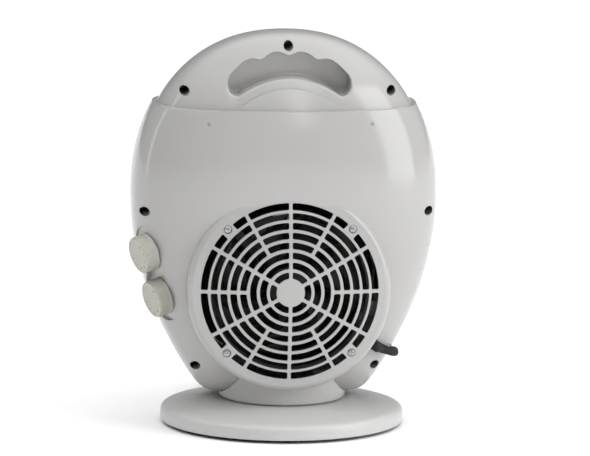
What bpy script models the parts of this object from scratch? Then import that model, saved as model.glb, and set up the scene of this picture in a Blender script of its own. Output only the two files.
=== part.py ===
"""Fan convector heater on a swivelling round foot, modelled as separate pieces.

Frame: metres, +Z up, origin under the middle of the foot, on the swivel axis.
Warm air leaves towards -Y, room air enters through the rings of slots at +Y.
Sizes below are millimetres; MM turns them into metres.
"""
import math

import bmesh
import bpy
from mathutils import Matrix, Vector

MM = 0.001
GAP = 0.3                     # air between pieces that touch

# Casing: the outline seen from behind, and how far it bulges
HALF_WIDTH = 120.5            # at the widest level
WIDEST_Z = 182.0
TOP_HEIGHT = 130.5            # from the widest level to the crown
FOOT_DEPTH = 157.5            # from the widest level to the underside
TOP_POWER = 2.2
LOWER_TAPER = 0.476
CORNER_POWER = 36.0
PARTING_Y = -8.0
REAR_BULGE = 70.0
FRONT_BULGE = 60.0
REAR_POWERS = (2.4, 2.8)
FRONT_POWERS = (4.0, 2.5)
WALL = 2.5
STEP_Z = 255.0                # the ledge below the crown
STEP_INSET = 4.2
OUTLINE_STEPS = 48

# Air path
FAN_Z = 115.0
DRUM_RADIUS = 80.0
DRUM_RIM_Y = 61.5
DRUM_DOME = 9.0
SLOT_RINGS = ((11.1, 16.3, 6), (18.7, 24.0, 6), (26.5, 31.7, 6), (34.2, 39.4, 12), (41.8, 47.0, 12),
              (49.3, 54.6, 12), (56.7, 62.1, 12), (64.1, 69.7, 12))
SPOKE = 2.7
GRILLE_SCREW_RADIUS = 69.0
OUTLET_RADIUS = 76.0
SHROUD_RADIUS = 63.0
FLANGE_RADIUS = 74.0
IMPELLER_RADIUS = 57.0
BLADES = 7

# Handle pocket
HANDLE_HALF = 38.5            # of the arch below
HANDLE_MIDDLE_Z = 279.4
HANDLE_RISE = 12.6
HANDLE_TOP_Z = 296.0
HANDLE_CROWN = 0.0062          # fall of the upper edge, per mm squared
SCALLOP_PITCH = 44.0          # of two fingers
SCALLOP_DEPTH = 3.6
HANDLE_FLOOR_Y = 20.0

# Case screws, as places in the X-Z plane
CASE_SCREWS = ((0, 303), (81, 268), (-81, 268), (111.6, 173), (-111.6, 173), (70.7, 50), (-70.7, 50))
WELL_RADIUS = 3.75

# Controls
CONTROL_AXIS = Vector((0.885, 0.38, -0.27)).normalized()
KNOB_FACES = {"thermostat": Vector((116.8, 30.0, 138.0)), "selector": Vector((106.1, 30.0, 103.0))}
KNOB_RADIUS = 15.0
KNOB_HEIGHT = 11.5
POCKET_RADIUS = 20.5

# Foot and swivel
BASE_RADIUS = 96.0
BASE_TOP_Z = 21.0
NECK_RADIUS = 50.0
NECK_FLOOR_Z = 21.6
CRANK_SHAFT_RADIUS = 24.0
CRANK_LENGTH = 14.0
TRACK_TOP_Z = 16.9
PLUNGER_X = 38.0
PLUNGER_Y = 38.0
BASE_SCREW_RADIUS = 75.0
PAD_RADIUS = 82.0

# Mains lead
LEAD_RADIUS = 2.6
LEAD_EXIT = Vector((-70.8, 42.2, 67.2))
EXIT_NORMAL = Vector((-0.553, 0.771, -0.315)).normalized()
SLEEVE_DIRECTION = Vector((-0.72, -0.6, -0.35)).normalized()
SLEEVE_LENGTH = 20.0
COIL_CENTRE = Vector((-12.0, -168.0, 0.0))
COIL_RADIUS = 29.0
COIL_HALF_WIDTH = 8.0
COIL_HEIGHT = 14.2
LEAD_ROUTE = ((-88.0, 16.0, 58.6), (-89.4, 2.0, 57.0), (-87.8, -13.0, 55.0), (-83.0, -29.0, 52.0),
              (-76.0, -45.0, 47.8), (-67.5, -60.5, 42.0), (-59.0, -75.0, 34.5), (-52.5, -89.0, 25.5),
              (-48.5, -102.5, 16.0), (-46.5, -115.5, 8.2), (-46.0, -127.5, 4.0), (-46.0, -138.0, 3.0),
              (-46.0, -148.0, 2.9))
TAIL_ROUTE = ((23.4, -188.6, 6.6), (31.5, -184.6, 5.6), (37.6, -178.4, 5.6), (41.4, -170.5, 7.2),
              (42.9, -163.0, 9.2), (43.2, -158.8, 10.0))
PLUG_START = Vector((43.2, -156.2, 10.2))


def clear_scene():
    """Empty the scene, so that the script gives the same model every time."""
    for item in list(bpy.data.objects):
        bpy.data.objects.remove(item, do_unlink=True)


def material(name, colour, roughness, metallic=0.0):
    """One Principled material."""
    made = bpy.data.materials.new(name)
    made.use_nodes = True
    shader = made.node_tree.nodes["Principled BSDF"]
    shader.inputs["Base Color"].default_value = (*colour, 1.0)
    shader.inputs["Roughness"].default_value = roughness
    shader.inputs["Metallic"].default_value = metallic
    return made


def finish(name, bm, surface, smooth_angle=35.0):
    """Turn a bmesh in millimetres into a named object in metres."""
    bmesh.ops.scale(bm, vec=(MM, MM, MM), verts=bm.verts)
    mesh = bpy.data.meshes.new(name)
    bm.to_mesh(mesh)
    bm.free()
    mesh.materials.append(surface)
    mesh.shade_smooth()
    mesh.set_sharp_from_angle(angle=math.radians(smooth_angle))
    made = bpy.data.objects.new(name, mesh)
    bpy.context.scene.collection.objects.link(made)
    return made


def combine(target, tool, operation="DIFFERENCE"):
    """Boolean the tool into the target and throw the tool away."""
    modifier = target.modifiers.new("combine", "BOOLEAN")
    modifier.object = tool
    modifier.operation = operation
    graph = bpy.context.evaluated_depsgraph_get()
    mesh = bpy.data.meshes.new_from_object(target.evaluated_get(graph))
    target.modifiers.clear()
    target.data = mesh
    bpy.data.objects.remove(tool, do_unlink=True)
    return target


def weld(bm):
    """Merge touching points and turn every face outwards."""
    bmesh.ops.remove_doubles(bm, verts=bm.verts, dist=1e-4)
    bmesh.ops.recalc_face_normals(bm, faces=bm.faces)
    return bm


def add_turned(bm, profile, steps=32, place=Matrix.Identity(4)):
    """Turn a closed outline of (radius, height) about Z, then move it into place."""
    kept = set(bm.verts)
    points = [bm.verts.new((radius, 0.0, height)) for radius, height in profile]
    loop = points + [points[0]]
    edges = [bm.edges.new(pair) for pair in zip(loop, loop[1:])
             if pair[0].co.x > 1e-6 or pair[1].co.x > 1e-6]
    bmesh.ops.spin(bm, geom=points + edges, cent=(0, 0, 0), axis=(0, 0, 1),
                   angle=math.tau, steps=steps, use_merge=True)
    added = [vert for vert in bm.verts if vert not in kept]
    bmesh.ops.transform(bm, matrix=place, verts=added)
    return weld(bm)


def turned(profile, steps=32, place=Matrix.Identity(4)):
    """A fresh bmesh holding one turned solid."""
    return add_turned(bmesh.new(), profile, steps, place)


def rod(radius, low, high):
    """Outline of a plain cylinder."""
    return ((0.0, high), (radius, high), (radius, low), (0.0, low))


def tube(inner, outer, low, high):
    """Outline of a plain ring."""
    return ((inner, high), (outer, high), (outer, low), (inner, low))


def along(direction, origin=(0.0, 0.0, 0.0)):
    """Placement that lays local +Z along a direction, starting at origin."""
    turn = Vector(direction).to_track_quat("Z", "Y").to_matrix().to_4x4()
    return Matrix.Translation(Vector(origin)) @ turn


ALONG_Y = Matrix.Translation((0.0, 0.0, FAN_Z)) @ Matrix.Rotation(-math.pi / 2, 4, "X")


def add_box(bm, low, high):
    """A box between two corners."""
    made = bmesh.ops.create_cube(bm, size=1.0)
    middle = (Vector(low) + Vector(high)) / 2
    size = Vector(high) - Vector(low)
    bmesh.ops.transform(bm, matrix=Matrix.Translation(middle) @ Matrix.Diagonal((*size, 1.0)),
                        verts=made["verts"])
    return bm


def add_prism(bm, outline, low, high, place=Matrix.Identity(4)):
    """Extrude a flat outline of (x, y) from one height to another."""
    bottom = [bm.verts.new((x, y, low)) for x, y in outline]
    top = [bm.verts.new((x, y, high)) for x, y in outline]
    sides = [bm.faces.new((bottom[i - 1], bottom[i], top[i], top[i - 1])) for i in range(len(outline))]
    caps = [bm.faces.new(bottom), bm.faces.new(top)]
    bmesh.ops.transform(bm, matrix=place, verts=bottom + top)
    bmesh.ops.recalc_face_normals(bm, faces=sides + caps)
    return bm


# A prism outline of (x, z) is extruded along Y with this placement
UPRIGHT = Matrix(((1, 0, 0, 0), (0, 0, 1, 0), (0, 1, 0, 0), (0, 0, 0, 1)))


def reach(x, z, inset=0.0):
    """1 on the casing outline, less inside it, in proportion to the distance from its middle."""
    wide = abs(x) / (HALF_WIDTH - inset)
    rise = z - WIDEST_Z
    if rise >= 0.0:
        return (wide ** TOP_POWER + (rise / (TOP_HEIGHT - inset * 0.2)) ** TOP_POWER) ** (1 / TOP_POWER)
    drop = -rise / (FOOT_DEPTH - inset)
    side = (wide + math.sqrt(wide * wide + 4 * LOWER_TAPER * drop * drop)) / 2
    return (side ** CORNER_POWER + drop ** CORNER_POWER) ** (1 / CORNER_POWER)


def bulge(part, bulge_depth, powers):
    """Depth of the casing in front of or behind the parting plane at a share of its outline."""
    return bulge_depth * max(0.0, 1.0 - part ** powers[0]) ** (1 / powers[1])


def add_bulb(bm, rear, inset=0.0, overrun=0.0, bands=6):
    """Half of the casing as a closed solid, flat where the two halves meet."""
    powers = REAR_POWERS if rear else FRONT_POWERS
    depth = (REAR_BULGE if rear else FRONT_BULGE) - inset
    side = 1.0 if rear else -1.0
    flat = PARTING_Y + side * GAP / 2
    tip = bm.verts.new((0.0, flat + side * depth, WIDEST_Z))
    rings = []
    for band in range(1, bands + 1):
        part = math.sin(band / bands * math.pi / 2) ** (2 / powers[0])
        y = flat if band == bands else flat + side * bulge(part, depth, powers)
        rings.append((part, y))
    if overrun:
        rings.append((1.0, flat - side * overrun))
    circles = []
    for part, y in rings:
        circle = []
        for i in range(OUTLINE_STEPS):
            angle = math.tau * i / OUTLINE_STEPS
            length = part / reach(math.cos(angle), WIDEST_Z + math.sin(angle), inset)
            circle.append(bm.verts.new((math.cos(angle) * length, y, WIDEST_Z + math.sin(angle) * length)))
        circles.append(circle)
    faces = [bm.faces.new(circles[-1])]
    for i in range(OUTLINE_STEPS):
        faces.append(bm.faces.new((tip, circles[0][i - 1], circles[0][i])))
        for inner, outer in zip(circles, circles[1:]):
            faces.append(bm.faces.new((inner[i - 1], outer[i - 1], outer[i], inner[i])))
    bmesh.ops.recalc_face_normals(bm, faces=faces)
    return bm


def tool(bm):
    """A throwaway object for a Boolean."""
    return finish("tool", bm, bpy.data.materials[0])


def casing(rear, shrink=0.0, overrun=0.0):
    """Solid half casing whose crown is set back above the ledge."""
    lower = tool(add_bulb(bmesh.new(), rear, shrink, overrun))
    crown = tool(add_bulb(bmesh.new(), rear, shrink + STEP_INSET, overrun))
    above = (400.0, 200.0, 400.0)
    combine(lower, tool(add_box(bmesh.new(), (-above[0], -above[1], STEP_Z - shrink), above)))
    return combine(lower, crown, "UNION")


def drum(shrink=0.0, low=0.0):
    """Round boss with a domed face that carries the air inlet."""
    dome = [(radius, DRUM_RIM_Y + DRUM_DOME * (1 - (radius / 72.0) ** 2) - shrink)
            for radius in (0.0, 40.0, 72.0)]
    edge = [(77.0 - shrink, 60.2 - shrink), (79.3 - shrink, 57.8 - shrink), (80.0 - shrink, 54.0 - shrink)]
    return turned(dome + edge + [(DRUM_RADIUS - shrink, low), (0.0, low)], 24, ALONG_Y)


def round_holes(places, radius, low, high, steps=12):
    """Cylinders along Y at places in the X-Z plane."""
    bm = bmesh.new()
    for x, z in places:
        add_turned(bm, rod(radius, low, high), steps,
                   Matrix.Translation((x, 0.0, z)) @ Matrix.Rotation(-math.pi / 2, 4, "X"))
    return tool(bm)


def slot_sectors():
    """Angle limits, radii and half spoke widths of every air slot."""
    sectors = []
    for inner, outer, count in SLOT_RINGS:
        turn = 360.0 / count
        first = 30.0 if count == 6 else 0.0
        for i in range(count):
            start = first + turn * i
            half = SPOKE / 2
            middle = start + turn / 2
            if outer > GRILLE_SCREW_RADIUS and abs(middle % 90 - 45) < 1:
                sectors.append((start, middle, inner, outer, half, 5.2))
                sectors.append((middle, start + turn, inner, outer, 5.2, half))
            else:
                sectors.append((start, start + turn, inner, outer, half, half))
    return sectors


def slot_cutter():
    """All the air slots as prisms through the drum's face."""
    bm = bmesh.new()
    for start, end, inner, outer, first, last in slot_sectors():
        outline = []
        steps = max(2, round((end - start) / 20))
        for radius, order in ((inner, range(steps + 1)), (outer, range(steps, -1, -1))):
            low = math.radians(start) + math.asin(first / radius)
            high = math.radians(end) - math.asin(last / radius)
            for i in order:
                angle = low + (high - low) * i / steps
                outline.append((radius * math.cos(angle), FAN_Z + radius * math.sin(angle)))
        add_prism(bm, outline, DRUM_RIM_Y - 15.0, DRUM_RIM_Y + 20.0, UPRIGHT)
    return tool(bm)


def grille_screw_places():
    """Four places on the diagonals of the air inlet."""
    offset = GRILLE_SCREW_RADIUS / math.sqrt(2)
    return [(x * offset, FAN_Z + z * offset) for x in (-1, 1) for z in (-1, 1)]


def handle_outline(grow):
    """Finger pocket: an arch below, four finger scallops above, lobed ends."""
    lower = [(x, HANDLE_MIDDLE_Z - HANDLE_RISE * (x / HANDLE_HALF) ** 2 - grow)
             for x in [HANDLE_HALF * i / 7 for i in range(-6, 7)]]
    upper = []
    for i in range(33):
        x = 43.0 - 86.0 * i / 32
        finger = abs(math.sin(math.tau * x / SCALLOP_PITCH))
        upper.append((x, HANDLE_TOP_Z - HANDLE_CROWN * x * x + SCALLOP_DEPTH * finger + grow))
    lobe = [(40.0, 266.0 - grow), (43.6 + grow / 2, 266.4 - grow), (46.8 + grow, 269.4), (48.2 + grow, 274.5),
            (47.0 + grow, 280.0)]
    return lower + lobe + upper + [(-x, z) for x, z in reversed(lobe)]


def control_base(name):
    """Middle of a knob's foot, on the floor of the control pocket."""
    return KNOB_FACES[name] - CONTROL_AXIS * (KNOB_HEIGHT + 0.4)


def control_solid(radius, low, high):
    """Prism of two overlapping circles, one round each knob's foot."""
    upper, lower = control_base("thermostat"), control_base("selector")
    along_pair = (upper - lower).normalized()
    across = CONTROL_AXIS.cross(along_pair)
    half = (upper - lower).length / 2
    meet = math.acos(half / radius)
    outline = []
    for side in (1, -1):
        for i in range(16):
            angle = (math.pi - meet) * (i / 8 - 1)
            outline.append((side * (half + radius * math.cos(angle)), side * radius * math.sin(angle)))
    frame = Matrix.Translation((upper + lower) / 2) @ Matrix((
        (along_pair.x, across.x, CONTROL_AXIS.x, 0), (along_pair.y, across.y, CONTROL_AXIS.y, 0),
        (along_pair.z, across.z, CONTROL_AXIS.z, 0), (0, 0, 0, 1)))
    return tool(add_prism(bmesh.new(), outline, low, high, frame))


def swivel_opening():
    """Round hole in the casing's underside, over the swivel."""
    return tool(turned(rod(44.0, 0.0, 62.0), 28))


def inside_wall(shape, rear):
    """Trim a boss so that it ends inside the casing's wall."""
    core = casing(rear, WALL / 3)
    if rear:
        combine(core, tool(drum(WALL / 3)), "UNION")
    return combine(shape, core, "INTERSECT")


def make_rear_shell(plastic):
    """Rear casing with its air inlet, finger pocket, control pocket and screw wells."""
    shell = casing(True)
    combine(shell, tool(drum()), "UNION")
    hollow = casing(True, WALL, 1.0)
    combine(hollow, tool(drum(WALL, PARTING_Y - 0.5)), "UNION")
    combine(shell, hollow)
    bosses = round_holes(CASE_SCREWS, 6.0, PARTING_Y + GAP, 60.0, 12)
    combine(shell, inside_wall(bosses, True), "UNION")
    pocket = tool(add_prism(bmesh.new(), handle_outline(WALL), HANDLE_FLOOR_Y - WALL, 60.0, UPRIGHT))
    combine(shell, inside_wall(pocket, True), "UNION")
    combine(shell, inside_wall(control_solid(POCKET_RADIUS + WALL, -WALL, 30.0), True), "UNION")
    combine(shell, tool(add_prism(bmesh.new(), handle_outline(0.0), HANDLE_FLOOR_Y, 90.0, UPRIGHT)))
    combine(shell, control_solid(POCKET_RADIUS, 0.0, 40.0))
    for name in KNOB_FACES:
        combine(shell, tool(turned(rod(3.6, -8.0, 8.0), 16, along(CONTROL_AXIS, control_base(name)))))
    combine(shell, round_holes(CASE_SCREWS, WELL_RADIUS, PARTING_Y + 5.0, 70.0, 12))
    combine(shell, round_holes(CASE_SCREWS, 1.9, PARTING_Y - 2.0, PARTING_Y + 9.0, 8))
    combine(shell, slot_cutter())
    combine(shell, round_holes(grille_screw_places(), 3.2, DRUM_RIM_Y - 0.6, 80.0, 10))
    combine(shell, round_holes(grille_screw_places(), 1.7, 50.0, 80.0, 8))
    combine(shell, tool(turned(rod(4.6, -11.5, 6.0), 14, along(EXIT_NORMAL, LEAD_EXIT))))
    combine(shell, swivel_opening())
    return settle(shell, "rear_shell", plastic)


def settle(made, name, surface):
    """Name a finished Boolean result and give it its material and shading."""
    made.name = name
    made.data.name = name
    made.data.materials.clear()
    made.data.materials.append(surface)
    made.data.shade_smooth()
    made.data.set_sharp_from_angle(angle=math.radians(30.0))
    return made


def make_front_shell(plastic):
    """Front casing: bosses for the case screws and a round outlet."""
    shell = casing(False)
    combine(shell, casing(False, WALL, 1.0))
    bosses = round_holes(CASE_SCREWS, 5.0, -34.0, PARTING_Y - GAP, 10)
    combine(shell, inside_wall(bosses, False), "UNION")
    combine(shell, round_holes(CASE_SCREWS, 1.9, PARTING_Y - 16.0, 10.0, 8))
    combine(shell, tool(turned(rod(OUTLET_RADIUS, -100.0, -20.0), 30, ALONG_Y)))
    combine(shell, swivel_opening())
    return settle(shell, "front_shell", plastic)


def make_outlet_grille(plastic):
    """Louvred grille that follows the front casing's curve."""
    grille = casing(False)
    combine(grille, casing(False, 3.0, 1.0))
    combine(grille, tool(turned(rod(OUTLET_RADIUS - GAP, -100.0, -20.0), 30, ALONG_Y)), "INTERSECT")
    bars = bmesh.new()
    pitch, opening, rim = 14.0, 9.5, 5.0
    for i in range(-4, 5):
        level = i * pitch
        half = math.sqrt((OUTLET_RADIUS - rim) ** 2 - (abs(level) + opening / 2) ** 2)
        for side in (-1, 1):
            ends = sorted((side * 1.5, side * half))
            add_box(bars, (ends[0], -100.0, FAN_Z + level - opening / 2),
                    (ends[1], -20.0, FAN_Z + level + opening / 2))
    combine(grille, tool(bars))
    return settle(grille, "outlet_grille", plastic)


def copies(name, bm, surface, places):
    """The same piece at several places, numbered from 1, sharing one mesh."""
    first = finish(name + "_1", bm, surface)
    first.location = Vector(places[0]) * MM
    for i, place in enumerate(places[1:], start=2):
        made = bpy.data.objects.new(f"{name}_{i}", first.data)
        made.location = Vector(place) * MM
        bpy.context.scene.collection.objects.link(made)


ONTO_Y = Matrix.Rotation(-math.pi / 2, 4, "X")


def make_case_screws(steel):
    """Seven screws deep in their wells, from behind into the front casing."""
    head = PARTING_Y + 5.0 + GAP
    profile = ((0.0, head + 2.2), (3.3, head + 1.2), (3.3, head), (1.5, head), (1.5, PARTING_Y - 14.0),
               (0.0, PARTING_Y - 15.0))
    copies("case_screw", turned(profile, 10, ONTO_Y), steel, [(x, 0.0, z) for x, z in CASE_SCREWS])


def make_grille_screws(steel):
    """Four screws in the inlet face, down into the fan shroud's lugs."""
    head = DRUM_RIM_Y - 0.6 + GAP
    profile = ((0.0, head + 1.7), (2.9, head + 0.9), (2.9, head), (1.4, head), (1.4, 48.0), (0.0, 47.0))
    copies("grille_screw", turned(profile, 10, ONTO_Y), steel,
           [(x, 0.0, z) for x, z in grille_screw_places()])


def make_fan_shroud(plastic):
    """Air duct around the fan: four lugs for the grille screws, and a flange that shuts off the outlet's rim."""
    duct = tool(turned(rod(SHROUD_RADIUS, -38.0, 56.0), 30, ALONG_Y))
    combine(duct, round_holes(grille_screw_places(), 4.6, 44.0, 55.0, 10), "UNION")
    offset = (SHROUD_RADIUS + 2.0) / math.sqrt(2)
    webs = [(x * offset, FAN_Z + z * offset) for x in (-1, 1) for z in (-1, 1)]
    combine(duct, round_holes(webs, 3.4, 45.0, 54.0, 8), "UNION")
    combine(duct, tool(turned(rod(FLANGE_RADIUS, -33.0, -31.0), 30, ALONG_Y)), "UNION")
    combine(duct, tool(turned(rod(SHROUD_RADIUS - 2.0, -60.0, 60.0), 30, ALONG_Y)))
    combine(duct, round_holes(grille_screw_places(), 1.7, 46.0, 60.0, 8))
    return settle(duct, "fan_shroud", plastic)


def make_motor_bracket(steel):
    """Four-armed spider that carries the motor inside the duct."""
    rim = SHROUD_RADIUS - 2.0 - GAP
    spider = tool(turned(tube(rim - 4.0, rim, 8.0, 11.0), 30, ALONG_Y))
    combine(spider, tool(turned(rod(16.0, 8.0, 11.0), 24, ALONG_Y)), "UNION")
    for turn in (45.0, 135.0):
        arm = add_box(bmesh.new(), (-rim + 1.5, 8.4, -4.0), (rim - 1.5, 10.6, 4.0))
        place = Matrix.Translation((0, 0, FAN_Z)) @ Matrix.Rotation(math.radians(turn), 4, "Y")
        bmesh.ops.transform(arm, matrix=place, verts=arm.verts)
        combine(spider, tool(arm), "UNION")
    combine(spider, tool(turned(rod(3.0, 0.0, 20.0), 16, ALONG_Y)))
    return settle(spider, "motor_bracket", steel)


def make_motor(steel):
    """Shaded-pole motor in front of its bracket, hollow for the shaft."""
    profile = ((2.4, 7.7), (12.0, 7.7), (14.0, 4.0), (22.0, 4.0), (22.0, -12.0), (14.0, -12.0),
               (11.0, -16.0), (2.4, -16.0))
    return finish("fan_motor", turned(profile, 28, ALONG_Y), steel)


def make_motor_shaft(steel):
    """Steel shaft that turns with the impeller."""
    return finish("motor_shaft", turned(rod(2.1, -17.5, 40.0), 14, ALONG_Y), steel)


def make_impeller(plastic):
    """Axial fan: a cup hub with twisted blades."""
    hub_profile = ((2.4, 42.0), (9.0, 42.0), (15.0, 39.5), (17.0, 35.0), (17.0, 20.0), (14.5, 20.0),
                   (14.5, 34.0), (8.0, 37.0), (5.0, 37.0), (5.0, 20.0), (2.4, 20.0))
    fan = tool(turned(hub_profile, 28, ALONG_Y))
    for i in range(BLADES):
        blade = bmesh.new()
        stations = []
        for j in range(4):
            radius = 15.8 + (IMPELLER_RADIUS - 15.8) * j / 3
            sweep = math.radians(8.0 * j)
            half_angle = math.radians(20.0 - 1.5 * j)
            pitch = math.radians(38.0 - 6.0 * j)
            half_rise = radius * half_angle * math.tan(pitch)
            half_rise = min(half_rise, 8.0)
            corners = []
            for side in (-1, 1):
                angle = sweep + side * half_angle
                for lift in (0.0, 1.8):
                    y = 29.5 + side * half_rise + lift
                    corners.append((radius * math.cos(angle), y, radius * math.sin(angle)))
            stations.append([blade.verts.new(corners[k]) for k in (0, 1, 3, 2)])
        for inner, outer in zip(stations, stations[1:]):
            for k in range(4):
                blade.faces.new((inner[k - 1], inner[k], outer[k], outer[k - 1]))
        blade.faces.new(stations[0])
        blade.faces.new(stations[-1])
        place = Matrix.Translation((0, 0, FAN_Z)) @ Matrix.Rotation(math.tau * i / BLADES, 4, "Y")
        bmesh.ops.transform(blade, matrix=place, verts=blade.verts)
        bmesh.ops.recalc_face_normals(blade, faces=blade.faces)
        combine(fan, tool(blade), "UNION")
    return settle(fan, "impeller", plastic)


def make_heater_frame(plastic):
    """Heat-proof ring with a square window for the element."""
    frame = tool(turned(rod(SHROUD_RADIUS - 2.0 - GAP, -36.0, -22.0), 30, ALONG_Y))
    window = add_box(bmesh.new(), (-41.0, -40.0, FAN_Z - 41.0), (41.0, -18.0, FAN_Z + 41.0))
    combine(frame, tool(window))
    return settle(frame, "heater_frame", plastic)


def make_heater_element(ceramic):
    """Finned heating block in its window, open between the bars."""
    size = 41.0 - GAP
    block = tool(add_box(bmesh.new(), (-size, -35.0, FAN_Z - size), (size, -23.0, FAN_Z + size)))
    slots = bmesh.new()
    count, bar = 6, 3.2
    pitch = (2 * size - bar) / count
    for i in range(count):
        low = FAN_Z - size + bar + pitch * i
        for side in (-1, 1):
            ends = sorted((side * 1.6, side * (size - 4.0)))
            add_box(slots, (ends[0], -40.0, low), (ends[1], -18.0, low + pitch - bar))
    combine(block, tool(slots))
    return settle(block, "heater_element", ceramic)


def make_thermal_cutout(steel):
    """Disc thermostat that trips if the air flow stops."""
    place = Matrix.Translation((0.0, 0.0, FAN_Z + 49.0)) @ Matrix.Rotation(-math.pi / 2, 4, "X")
    profile = ((0.0, -15.0), (4.5, -15.0), (4.5, -18.0), (7.5, -18.0), (7.5, -21.7), (0.0, -21.7))
    return finish("thermal_cutout", turned(profile, 20, place), steel)


def make_control(name, knob_plastic, steel, switch_plastic):
    """One rotary control: knob, spindle and the switch body behind the panel."""
    place = along(CONTROL_AXIS, control_base(name))
    low = 0.4
    top = low + KNOB_HEIGHT
    knob = ((0.0, top - 0.4), (12.0, top - 0.4), (12.6, top), (14.2, top), (KNOB_RADIUS, top - 0.8),
            (KNOB_RADIUS, low), (12.6, low), (12.6, 7.5), (6.0, 7.5), (6.0, 1.0), (3.3, 1.0), (3.3, 9.6),
            (0.0, 9.6))
    knob_bm = turned(knob, 26, place)
    finish(name + "_knob", knob_bm, knob_plastic)
    finish(name + "_spindle", turned(rod(3.0, -9.0, 9.2), 16, place), steel)
    body = ((3.5, -WALL - GAP), (7.6, -WALL - GAP), (7.6, -8.0), (6.8, -8.0), (6.8, -14.0), (0.0, -14.0),
            (0.0, -9.6), (3.5, -9.6))
    finish(name + "_body", turned(body, 16, place), switch_plastic)


def make_bush(rubber):
    """Rubber bush that grips the lead and turns it along the casing."""
    collar = ((0.0, 2.0), (4.2, 2.0), (4.2, -11.0), (0.0, -11.0))
    bush = tool(turned(collar, 16, along(EXIT_NORMAL, LEAD_EXIT)))
    ball = bmesh.new()
    bmesh.ops.create_uvsphere(ball, u_segments=14, v_segments=8, radius=4.3,
                              matrix=along(SLEEVE_DIRECTION, LEAD_EXIT))
    combine(bush, tool(ball), "UNION")
    sleeve = ((0.0, SLEEVE_LENGTH), (3.0, SLEEVE_LENGTH), (3.9, 0.0), (0.0, 0.0))
    combine(bush, tool(turned(sleeve, 14, along(SLEEVE_DIRECTION, LEAD_EXIT))), "UNION")
    return settle(bush, "cord_bush", rubber)


def make_inner_electrics(plastic, steel):
    """Cord clamp and terminal block, inside the casing below the lead's exit."""
    clamp = add_box(bmesh.new(), (-72.0, 6.0, 88.0), (-66.0, 22.0, 100.0))
    finish("cord_clamp", clamp, steel)
    block = tool(add_box(bmesh.new(), (-88.0, -14.0, 104.0), (-74.0, 14.0, 128.0)))
    holes = bmesh.new()
    for z in (110.0, 116.0, 122.0):
        add_box(holes, (-90.0, -9.0, z - 1.5), (-79.0, 9.0, z + 1.5))
    combine(block, tool(holes))
    settle(block, "terminal_block", plastic)


def make_swivel_collar(plastic):
    """Neck that joins the casing to the foot: a cup whose rim fits the casing's underside."""
    cup = ((9.7, NECK_FLOOR_Z + 2.5), (47.3, NECK_FLOOR_Z + 2.5), (47.3, 62.0), (NECK_RADIUS, 62.0),
           (NECK_RADIUS, NECK_FLOOR_Z), (9.7, NECK_FLOOR_Z))
    collar = tool(turned(cup, 36))
    combine(collar, casing(True, -GAP, 2.0))
    combine(collar, casing(False, -GAP, 2.0))
    combine(collar, tool(drum(-GAP)))
    combine(collar, tool(turned(rod(3.4, 0.0, 40.0), 16, Matrix.Translation((0, -CRANK_SHAFT_RADIUS, 0)))))
    return settle(collar, "swivel_collar", plastic)


def make_swivel(steel, plastic):
    """Oscillation motor above the collar's floor and the crank arm below it."""
    at_shaft = Matrix.Translation((0.0, -CRANK_SHAFT_RADIUS, 0.0))
    floor = NECK_FLOOR_Z + 2.5 + GAP
    motor = ((2.9, 38.0), (17.5, 38.0), (18.0, 37.0), (18.0, floor + 4.5), (10.5, floor + 4.5),
             (10.5, floor), (2.9, floor))
    finish("oscillation_motor", turned(motor, 24, at_shaft), steel)
    arm_low, arm_top = TRACK_TOP_Z + GAP, NECK_FLOOR_Z - GAP
    arm = tool(turned(rod(6.0, arm_low, arm_top), 20, at_shaft))
    combine(arm, tool(add_box(bmesh.new(), (-4.0, -CRANK_SHAFT_RADIUS - CRANK_LENGTH, arm_low + 0.2),
                              (4.0, -CRANK_SHAFT_RADIUS, arm_top - 0.2))), "UNION")
    at_pin = Matrix.Translation((0.0, -CRANK_SHAFT_RADIUS - CRANK_LENGTH, 0.0))
    combine(arm, tool(turned(rod(4.4, arm_low + 0.1, arm_top - 0.1), 16, at_pin)), "UNION")
    combine(arm, tool(turned(rod(2.5, 12.0, arm_top - 1.0), 14, at_pin)), "UNION")
    combine(arm, tool(turned(rod(2.5, arm_top - 1.0, 34.0), 14, at_shaft)), "UNION")
    settle(arm, "crank_arm", plastic)


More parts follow.
